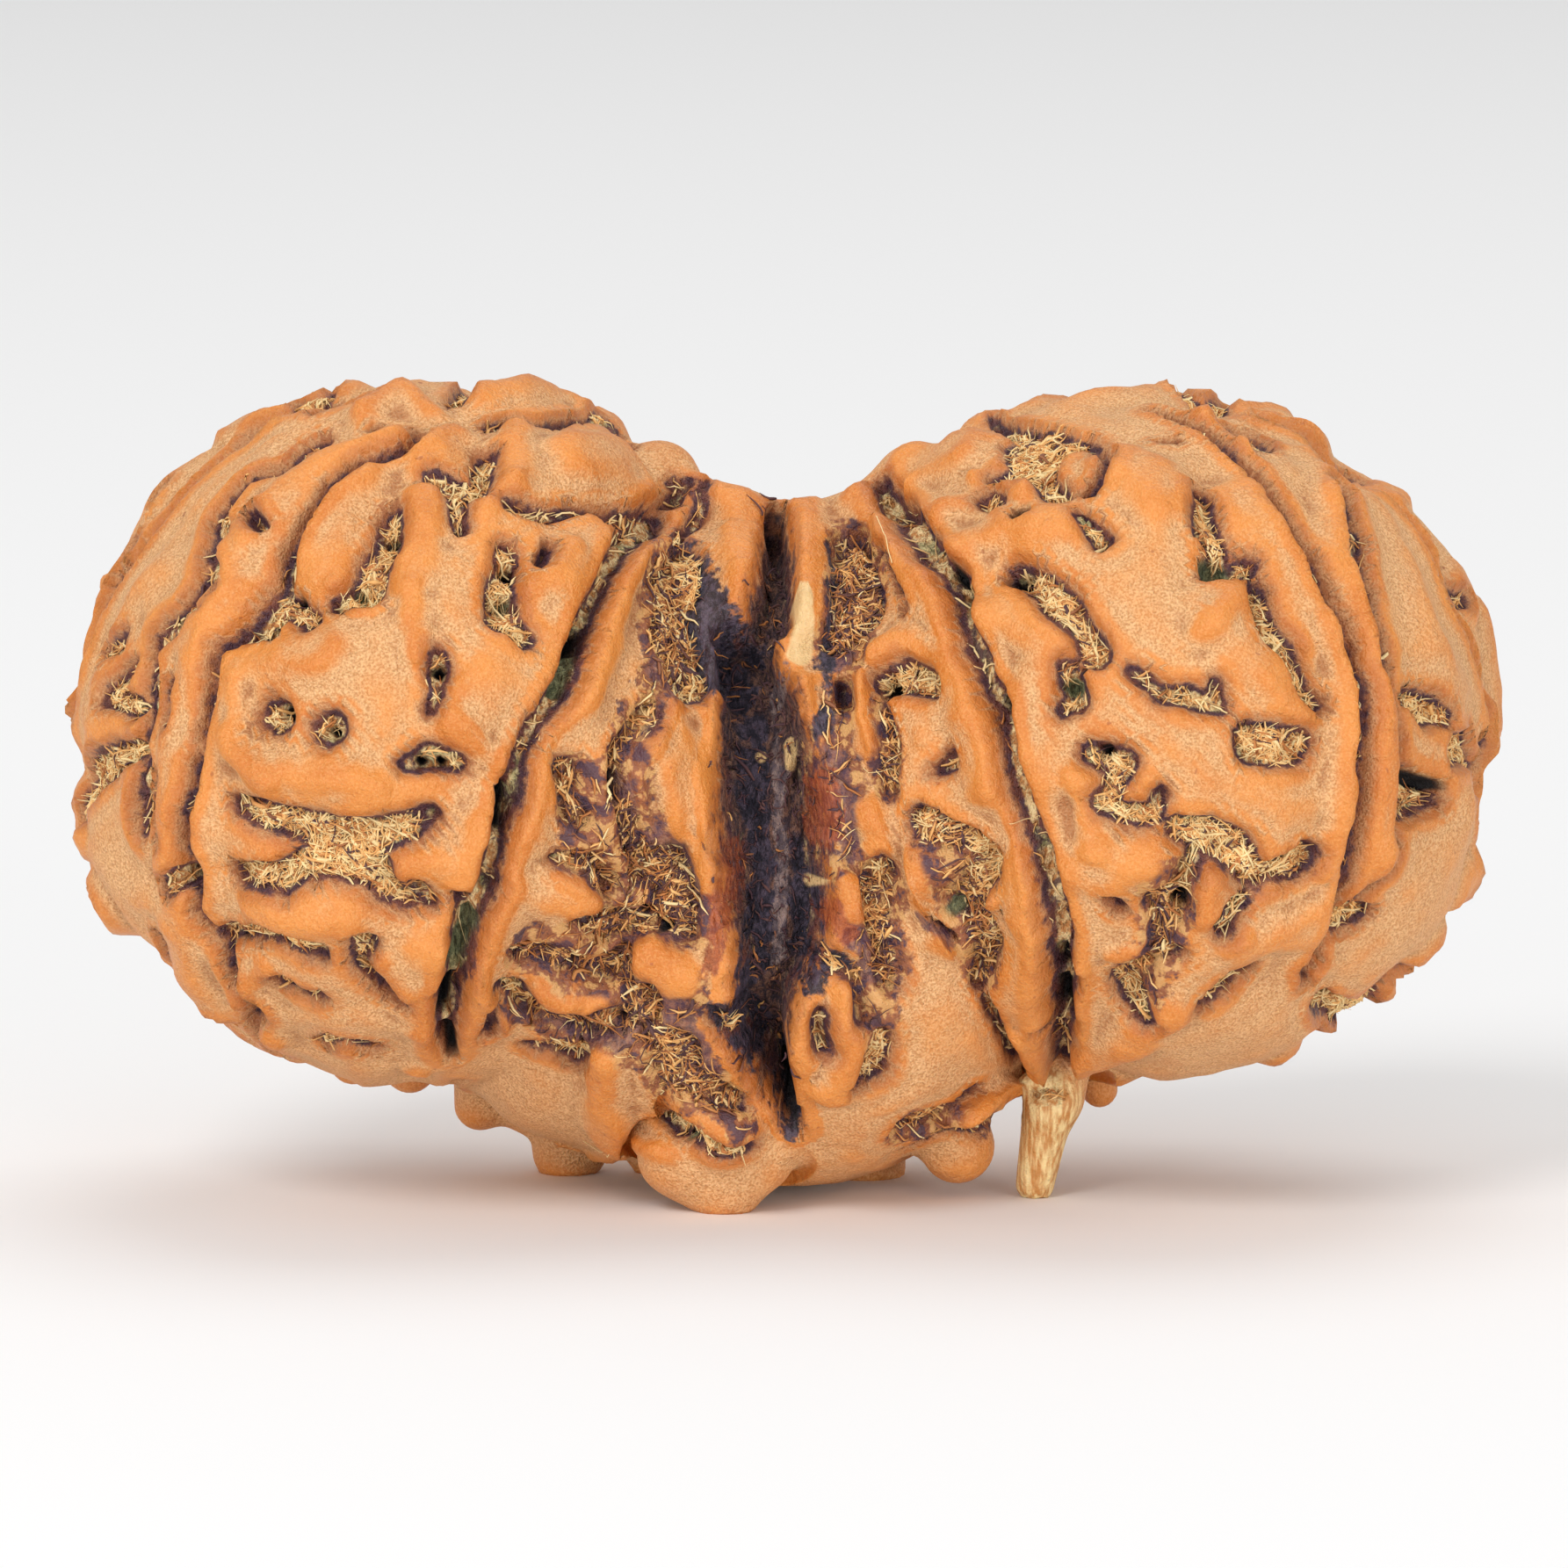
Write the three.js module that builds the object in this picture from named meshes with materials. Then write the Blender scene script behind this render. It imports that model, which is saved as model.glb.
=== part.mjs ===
// A gauri shankar rudraksha: two rudraksha stones that grew together, standing on their low tubercles.
// Millimetres, +Z up. The front faces -Y, and +X is to the right of someone who looks at the front.

import * as THREE from 'three';

// Driving sizes
const STONE_RADIUS = 7.5;
const STONE_APART = 8.1;
const STONE_RISE = 1.15;
const STONE_DEPTH = 7.3;
const FLOOR_Z = -9.2;

// The strokes below are drawn as someone sees the front from this far above the horizon
const SIGHT_LIFT = THREE.MathUtils.degToRad(8);
const SIGHT_UP = new THREE.Vector3(0, Math.sin(SIGHT_LIFT), Math.cos(SIGHT_LIFT));
const SIGHT_IN = new THREE.Vector3(0, Math.cos(SIGHT_LIFT), -Math.sin(SIGHT_LIFT));

// Relief
const SEGMENT_RISE = 0.45;
const SEGMENT_REACH = 2.2;
const PLATE_RISE = 0.25;
const PLATE_REACH = 0.9;
const WALL = 0.2;
const LUMP_CLEARANCE = 0.6;
const THINNEST_STROKE = 0.28;

// Mesh
const GRID_STEP = 0.34;
const MOST_TRIANGLES = 11400;
const FLAT_CATCH = 0.03;

// Big forms, each an ellipsoid: middle, radii
const MASSES = [
  { middle: [-STONE_APART, 0.1, STONE_RISE + 0.1], radii: [STONE_RADIUS, STONE_DEPTH, STONE_RADIUS] },
  { middle: [STONE_APART, 0.1, STONE_RISE + 0.2], radii: [STONE_RADIUS, STONE_DEPTH, STONE_RADIUS - 0.2] },
  { middle: [-0.1, 0.2, -0.9], radii: [4.6, 5.6, 7.1] },
  { middle: [-0.3, 0.2, -3.6], radii: [6.0, 5.6, 4.0] },
  { middle: [1.0, 0.4, -6.5], radii: [3.4, 3.6, 1.05] },
  { middle: [-4.3, 1.2, -6.1], radii: [2.4, 3.2, 1.4] },
];
const MASS_BLEND = 1.6;

// Tubercles, lumps and the splinter stand out of the masses: start, end, half-width at each, and blend
const LUMPS = [
  // Tubercles that it stands on
  { from: [-4.6, 2.0, -6.6], to: [-4.95, 2.4, -8.7], half: [1.1, 0.85], blend: 0.9 },
  { from: [-2.8, 2.0, -7.2], to: [-2.95, 2.4, -8.8], half: [0.8, 0.62], blend: 0.8 },
  { from: [-2.3, -2.4, -8.0], to: [-1.35, -2.8, -8.75], half: [0.9, 0.78], blend: 0.6 },
  { from: [1.6, 1.6, -7.2], to: [1.85, 2.0, -8.95], half: [1.0, 0.95], blend: 0.7 },
  { from: [3.5, -1.0, -7.2], to: [3.95, -0.9, -8.05], half: [1.1, 0.85], blend: 0.8 },
  // The splinter, and the root that it grows from
  { from: [6.05, -1.2, -6.9], to: [5.72, -1.0, -8.9], half: [0.6, 0.44], blend: 0.3 },
  { from: [6.4, -0.6, -5.6], to: [6.2, -0.9, -6.9], half: [0.8, 0.6], blend: 0.5 },
  // The front lip, and the knob over it
  { from: [-1.8, -4.0, -6.7], to: [-1.35, -4.0, -7.2], half: [0.7, 0.8], blend: 0.4 },
  { from: [-2.4, -3.0, -7.9], to: [-0.5, -3.0, -8.0], half: [0.8, 0.7], blend: 0.7 },
  // Low lumps along the back edge of each stone
  { from: [-6.4, 1.8, -6.3], to: [-3.4, 1.6, -7.5], half: [0.9, 0.9], blend: 1.0 },
  { from: [-5.9, 2.2, -6.8], to: [-5.95, 2.5, -7.75], half: [0.65, 0.55], blend: 0.5 },
  { from: [-6.9, 2.2, -6.3], to: [-7.0, 2.5, -7.65], half: [0.7, 0.6], blend: 0.5 },
  { from: [-8.5, 1.8, -5.6], to: [-8.6, 2.0, -6.7], half: [0.8, 0.6], blend: 0.6 },
  { from: [-10.0, 1.8, -5.2], to: [-9.9, 2.0, -6.55], half: [0.8, 0.55], blend: 0.6 },
  { from: [7.1, 1.6, -6.0], to: [7.25, 1.9, -7.2], half: [0.65, 0.42], blend: 0.5 },
  { from: [8.6, 1.8, -5.4], to: [8.9, 2.0, -6.0], half: [0.9, 0.65], blend: 0.6 },
  // Shoulders beside the notch at the top
  { from: [-3.7, 0.6, 6.6], to: [-2.85, 0.6, 7.0], half: [1.2, 0.95], blend: 1.0 },
  { from: [-1.8, 0, 6.0], to: [-0.9, 0, 6.25], half: [0.8, 0.65], blend: 0.8 },
  { from: [3.9, 0.6, 6.6], to: [3.05, 0.6, 6.85], half: [1.2, 1.05], blend: 1.0 },
  { from: [2.0, 0, 6.2], to: [0.9, 0, 6.05], half: [0.8, 0.6], blend: 0.8 },
];

// The mukhi clefts of the front and the valley where the stones are joined: depth, then points of
// across, up and half-width as someone sees the front
const CLEFTS = [
  { depth: 1.3, path: [[-2.3, 6.9, 0.2], [-3.0, 6.1, 0.35], [-3.6, 5.5, 0.3], [-4.0, 4.9, 0.22],
    [-4.6, 3.7, 0.24], [-5.0, 2.4, 0.26], [-5.6, 1.5, 0.24], [-6.1, 0.3, 0.26], [-6.4, -1.0, 0.22],
    [-6.75, -2.2, 0.24], [-7.15, -3.2, 0.3], [-7.5, -4.2, 0.26], [-7.6, -5.2, 0.24], [-7.4, -6.4, 0.2]] },
  { depth: 1.0, path: [[-8.2, 7.45, 0.14], [-9.3, 7.0, 0.16], [-10.1, 6.3, 0.16], [-10.8, 5.5, 0.16],
    [-11.1, 4.5, 0.2], [-11.9, 3.6, 0.2], [-12.5, 3.0, 0.16], [-12.7, 1.4, 0.14], [-13.05, 0, 0.14],
    [-13.05, -1.5, 0.14], [-12.9, -2.7, 0.16], [-12.3, -3.6, 0.18], [-11.8, -4.5, 0.16],
    [-11.2, -5.6, 0.14]] },
  { depth: 0.7, path: [[-11.0, 7.1, 0.2], [-11.8, 6.7, 0.24], [-12.5, 5.9, 0.24], [-12.6, 4.7, 0.24],
    [-13.3, 3.7, 0.22], [-14.0, 3.2, 0.24], [-14.1, 1.8, 0.2], [-14.2, 0.8, 0.24], [-14.2, -0.8, 0.2]] },
  { depth: 1.3, path: [[2.1, 7.0, 0.22], [2.5, 6.4, 0.3], [3.0, 5.8, 0.32], [3.6, 5.1, 0.24],
    [4.0, 4.5, 0.24], [4.25, 3.7, 0.24], [4.5, 2.8, 0.26], [4.9, 1.9, 0.2], [5.0, 1.2, 0.2],
    [5.3, 0, 0.24], [5.6, -0.9, 0.24], [6.0, -1.9, 0.26], [6.25, -3.0, 0.26], [6.35, -4.4, 0.26],
    [6.45, -5.8, 0.32]] },
  { depth: 0.9, path: [[8.3, 8.2, 0.12], [9.5, 7.7, 0.12], [10.3, 6.9, 0.12], [10.9, 6.2, 0.14],
    [11.3, 5.4, 0.16], [11.7, 4.6, 0.16], [12.3, 3.6, 0.16], [12.7, 2.2, 0.14], [12.6, 0.6, 0.14],
    [12.45, -1.2, 0.16], [12.2, -2.5, 0.14], [11.6, -3.7, 0.12]] },
  { depth: 0.7, path: [[12.3, 6.5, 0.3], [12.6, 5.6, 0.26], [12.7, 4.9, 0.26], [13.0, 3.7, 0.16],
    [13.15, 2.7, 0.18], [13.5, 1.5, 0.16], [13.45, 0, 0.16], [13.4, -1.1, 0.14], [12.6, -2.5, 0.2]] },
  { depth: 1.3, path: [[-0.2, 6.4, 0.2], [-0.1, 5.0, 0.32], [-0.4, 3.7, 0.5]] },
  { depth: 1.9, path: [[-0.9, 3.4, 0.6], [-0.7, 2.2, 0.8], [-0.35, 0.8, 1.1], [-0.2, -1.2, 1.2],
    [-0.1, -3.0, 1.1], [-0.4, -4.6, 0.7], [-0.6, -5.8, 0.5], [-0.1, -6.9, 0.3], [0.15, -7.5, 0.2]] },
];

// Pits and trenches of the front: depth, then points of across, up and half-width
const PITS = [
  // Left stone, rim and strips
  { depth: 0.7, path: [[-14.6, 3.4, 0.25], [-15.1, 2.9, 0.28]] },
  { depth: 0.7, path: [[-14.5, 2.7, 0.24], [-14.9, 2.1, 0.28], [-14.4, 1.9, 0.24]] },
  { depth: 0.9, path: [[-14.5, 1.0, 0.3], [-15.3, 0.3, 0.5], [-15.4, -0.4, 0.35], [-15.3, -1.6, 0.2]] },
  { depth: 0.6, path: [[-15.1, -2.2, 0.2], [-14.4, -3.0, 0.2]] },
  { depth: 0.6, path: [[-13.7, -3.1, 0.2], [-13.4, -3.8, 0.24], [-13.1, -4.4, 0.2]] },
  { depth: 0.6, path: [[-13.65, 2.2, 0.26], [-13.6, 1.6, 0.2]] },
  { depth: 0.6, path: [[-13.8, 0.3, 0.2], [-13.9, -0.4, 0.24], [-13.7, -0.9, 0.2]] },
  { depth: 0.7, path: [[-13.5, -2.0, 0.28], [-13.2, -1.8, 0.28]] },
  { depth: 0.7, path: [[-11.0, 8.3, 0.24], [-10.5, 8.3, 0.28], [-10.2, 8.8, 0.2]] },
  { depth: 0.7, path: [[-10.9, 7.2, 0.22], [-10.4, 7.6, 0.26]] },
  { depth: 0.6, path: [[-7.4, 8.3, 0.24], [-7.1, 8.8, 0.2]] },
  // Left stone, main segment
  { depth: 0.9, path: [[-8.7, 6.0, 0.24], [-8.9, 5.2, 0.34], [-9.3, 4.2, 0.34], [-9.8, 4.05, 0.24]] },
  { depth: 0.8, path: [[-7.5, 6.5, 0.28], [-7.2, 5.7, 0.2]] },
  { depth: 0.6, path: [[-7.8, 6.7, 0.26], [-7.0, 6.4, 0.3], [-6.8, 7.2, 0.26]] },
  { depth: 0.7, path: [[-6.7, 7.85, 0.16], [-5.5, 7.8, 0.18], [-4.2, 8.0, 0.22], [-3.4, 7.8, 0.14]] },
  { depth: 0.6, path: [[-6.3, 6.1, 0.16], [-5.5, 6.0, 0.2], [-4.3, 6.05, 0.2], [-3.5, 6.1, 0.18],
    [-2.5, 7.0, 0.14]] },
  { depth: 0.9, path: [[-6.3, 5.1, 0.28], [-6.4, 4.4, 0.34], [-6.3, 3.6, 0.38], [-5.9, 3.3, 0.26]] },
  { depth: 0.6, path: [[-11.6, 3.5, 0.28], [-11.1, 4.1, 0.32], [-10.5, 3.7, 0.3]] },
  { depth: 0.8, path: [[-11.15, 1.7, 0.42]] },
  { depth: 0.8, path: [[-10.0, 1.35, 0.42]] },
  { depth: 0.7, path: [[-7.7, 2.8, 0.26], [-7.8, 1.8, 0.18]] },
  { depth: 0.8, path: [[-8.3, 0.6, 0.26], [-7.9, 0.8, 0.36], [-7.3, 0.6, 0.22]] },
  { depth: 0.9, path: [[-12.0, -0.2, 0.24], [-11.2, -0.5, 0.34], [-10.0, -0.8, 0.4], [-9.2, -0.9, 0.4],
    [-8.3, -0.7, 0.3], [-7.8, -0.5, 0.2]] },
  { depth: 0.9, path: [[-12.0, -1.75, 0.28], [-11.0, -1.8, 0.36], [-10.2, -1.4, 0.5], [-9.2, -1.6, 0.5],
    [-8.8, -2.2, 0.34], [-8.4, -2.5, 0.24]] },
  { depth: 0.8, path: [[-12.4, -3.1, 0.22], [-11.7, -3.1, 0.28], [-11.2, -3.0, 0.34],
    [-10.3, -3.3, 0.24]] },
  { depth: 0.7, path: [[-11.1, -4.1, 0.3], [-10.4, -4.3, 0.3]] },
  { depth: 0.7, path: [[-10.3, -5.4, 0.2], [-9.8, -5.2, 0.28], [-9.2, -5.5, 0.2]] },
  { depth: 0.8, path: [[-9.3, -3.2, 0.34], [-9.4, -3.6, 0.22], [-8.9, -4.2, 0.18], [-8.5, -4.5, 0.16]] },
  { depth: 0.6, path: [[-8.2, -2.1, 0.22], [-7.9, -2.5, 0.18]] },
  // Left stone, segment beside the valley
  { depth: 0.7, path: [[-1.9, 6.75, 0.18], [-2.0, 6.15, 0.2], [-2.5, 5.6, 0.2]] },
  { depth: 0.8, path: [[-2.2, 5.1, 0.5], [-2.5, 4.2, 0.6], [-2.5, 3.2, 0.8], [-2.3, 2.5, 0.6]] },
  { depth: 0.8, path: [[-3.3, 1.8, 0.26], [-3.85, 1.0, 0.24], [-3.95, 0.1, 0.26], [-3.7, -0.6, 0.24],
    [-3.5, -1.2, 0.36]] },
  { depth: 0.6, path: [[-4.9, 0.5, 0.34], [-5.0, -0.2, 0.26], [-4.7, -0.6, 0.28]] },
  { depth: 0.6, path: [[-5.2, -1.4, 0.2], [-4.5, -1.5, 0.28], [-4.2, -1.9, 0.28]] },
  { depth: 0.9, path: [[-3.5, -1.5, 0.34], [-2.6, -1.6, 0.55], [-2.4, -2.5, 0.6], [-2.2, -3.1, 0.34]] },
  { depth: 0.7, path: [[-4.9, -2.6, 0.2], [-4.0, -2.8, 0.4], [-3.1, -2.9, 0.34]] },
  { depth: 0.8, path: [[-5.9, -3.4, 0.28], [-4.9, -3.55, 0.28], [-4.0, -3.8, 0.36], [-3.55, -3.6, 0.28],
    [-3.3, -4.4, 0.24]] },
  { depth: 0.8, path: [[-6.4, -4.1, 0.22], [-5.5, -4.75, 0.28], [-4.6, -4.9, 0.34], [-3.4, -4.9, 0.34],
    [-2.8, -4.5, 0.34]] },
  { depth: 0.8, path: [[-5.7, -5.4, 0.3], [-5.1, -5.4, 0.28], [-4.6, -5.7, 0.3], [-4.25, -5.5, 0.24]] },
  { depth: 0.8, path: [[-2.9, -5.2, 0.34], [-2.3, -5.6, 0.55], [-2.2, -6.3, 0.5], [-1.5, -6.8, 0.34],
    [-0.9, -7.1, 0.2]] },
  { depth: 0.9, path: [[-2.6, -7.1, 0.26], [-2.3, -7.7, 0.3], [-1.8, -8.1, 0.26], [-1.2, -8.3, 0.26],
    [-0.6, -8.0, 0.2]] },
  // Right stone, top
  { depth: 0.9, path: [[6.95, 8.7, 0.35], [7.5, 8.9, 0.35]] },
  { depth: 0.8, path: [[4.8, 8.0, 0.16], [5.6, 7.8, 0.3], [5.9, 7.2, 0.4], [5.9, 6.7, 0.34],
    [6.3, 6.3, 0.3]] },
  { depth: 0.7, path: [[5.3, 7.5, 0.2], [5.45, 6.9, 0.28], [4.9, 6.8, 0.22]] },
  { depth: 0.5, path: [[6.1, 7.8, 0.2], [6.5, 7.4, 0.28], [7.1, 7.4, 0.2]] },
  { depth: 0.6, path: [[4.6, 6.35, 0.26], [4.9, 6.2, 0.2]] },
  { depth: 0.8, path: [[6.75, 5.75, 0.22], [7.15, 5.3, 0.24]] },
  { depth: 0.7, path: [[8.9, 8.7, 0.24], [9.4, 8.4, 0.26], [10.0, 8.6, 0.24]] },
  { depth: 0.8, path: [[9.95, 7.95, 0.26], [10.4, 7.9, 0.24], [10.7, 7.5, 0.26]] },
  { depth: 0.7, path: [[12.3, 7.1, 0.26], [12.9, 7.0, 0.3]] },
  { depth: 0.7, path: [[14.9, 4.35, 0.22], [15.1, 4.15, 0.2]] },
  { depth: 0.7, path: [[13.8, 2.05, 0.2], [14.3, 1.8, 0.4], [14.6, 1.6, 0.3]] },
  { depth: 0.9, path: [[14.7, 0.9, 0.26], [15.2, 1.1, 0.4], [15.4, 0.4, 0.3], [15.5, 0.1, 0.18]] },
  { depth: 0.9, path: [[13.7, 0.4, 0.26], [13.8, -0.2, 0.45], [14.4, -0.2, 0.3]] },
  { depth: 0.8, path: [[12.5, -2.8, 0.36], [12.9, -2.6, 0.28]] },
  { depth: 1.0, path: [[11.9, -4.4, 0.24], [12.6, -4.6, 0.5], [13.1, -4.0, 0.5], [13.9, -3.4, 0.28],
    [14.4, -2.9, 0.2]] },
  // Right stone, main segment
  { depth: 0.9, path: [[5.2, 4.75, 0.28], [5.8, 4.4, 0.34], [6.4, 3.9, 0.36], [6.8, 3.4, 0.3],
    [7.0, 2.9, 0.34]] },
  { depth: 0.8, path: [[6.4, 2.6, 0.28], [6.5, 2.0, 0.36], [6.2, 1.7, 0.2]] },
  { depth: 0.7, path: [[7.7, 2.6, 0.16], [8.2, 2.2, 0.2], [9.0, 1.9, 0.3], [9.6, 1.85, 0.26],
    [9.5, 2.3, 0.2]] },
  { depth: 0.9, path: [[10.3, 1.1, 0.46], [11.3, 1.0, 0.46]] },
  { depth: 0.9, path: [[9.2, 6.2, 0.26], [9.3, 5.6, 0.36], [9.6, 5.2, 0.3], [9.5, 4.8, 0.34],
    [10.3, 4.9, 0.24]] },
  { depth: 0.8, path: [[10.4, 4.4, 0.24], [10.6, 3.6, 0.28], [11.0, 3.1, 0.3], [11.4, 2.4, 0.28],
    [11.8, 1.95, 0.18]] },
  { depth: 0.8, path: [[6.9, 0.85, 0.28], [7.5, 0.8, 0.3], [7.3, 0.2, 0.28], [7.0, -0.1, 0.24],
    [7.5, -0.4, 0.3], [8.1, -0.4, 0.26], [8.25, 0.1, 0.18]] },
  { depth: 0.9, path: [[8.6, -0.7, 0.26], [9.2, -0.9, 0.44], [9.9, -1.2, 0.46], [10.3, -1.8, 0.36],
    [11.0, -1.7, 0.34], [11.5, -1.4, 0.42]] },
  { depth: 0.8, path: [[10.1, -2.3, 0.22], [9.7, -2.7, 0.34]] },
  { depth: 0.9, path: [[9.1, -1.3, 0.22], [8.8, -2.0, 0.26], [8.4, -2.4, 0.42], [8.3, -3.1, 0.24]] },
  { depth: 0.9, path: [[8.6, -3.3, 0.26], [8.1, -3.6, 0.24], [7.7, -4.1, 0.42], [8.1, -4.6, 0.3]] },
  { depth: 0.9, path: [[9.2, -4.4, 0.18], [9.8, -4.1, 0.36], [10.2, -3.8, 0.34]] },
  // Right stone, segment beside the valley
  { depth: 0.7, path: [[1.4, 5.4, 0.3], [1.6, 4.7, 0.55], [1.8, 3.9, 0.7], [1.3, 3.4, 0.4]] },
  { depth: 0.9, path: [[2.35, 2.3, 0.28], [3.0, 2.5, 0.4], [3.4, 2.3, 0.36]] },
  { depth: 0.5, path: [[2.4, 1.7, 0.2], [2.5, 0.9, 0.26], [2.5, 0.2, 0.3]] },
  { depth: 0.8, path: [[3.55, 0.45, 0.2], [3.85, 0.7, 0.22]] },
  { depth: 0.9, path: [[3.4, -0.7, 0.42], [4.3, -1.1, 0.3], [4.6, -1.5, 0.36], [4.2, -2.3, 0.36],
    [4.6, -3.0, 0.42], [4.6, -3.7, 0.3], [4.4, -4.1, 0.3]] },
  { depth: 0.6, path: [[4.6, -4.5, 0.22], [4.9, -5.2, 0.18], [5.2, -5.8, 0.16]] },
  { depth: 0.7, path: [[2.1, -1.7, 0.4], [2.0, -2.6, 0.4], [2.2, -3.4, 0.3], [2.3, -4.1, 0.34]] },
  { depth: 0.8, path: [[1.0, -3.8, 0.26], [1.6, -4.1, 0.2], [1.6, -5.0, 0.18]] },
  { depth: 0.8, path: [[2.1, -5.4, 0.3], [2.0, -6.0, 0.34], [1.6, -6.3, 0.2]] },
  { depth: 0.7, path: [[0.85, -5.0, 0.24], [0.8, -5.6, 0.26]] },
  { depth: 0.9, path: [[2.6, -7.3, 0.36], [3.1, -7.2, 0.42], [3.6, -6.8, 0.24], [3.9, -6.5, 0.24]] },
  { depth: 0.6, path: [[2.9, -7.8, 0.18], [3.6, -7.55, 0.18], [4.4, -7.6, 0.26], [5.0, -7.3, 0.26]] },
  { depth: 0.7, path: [[5.6, -6.9, 0.2], [6.1, -6.85, 0.26]] },
];

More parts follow.
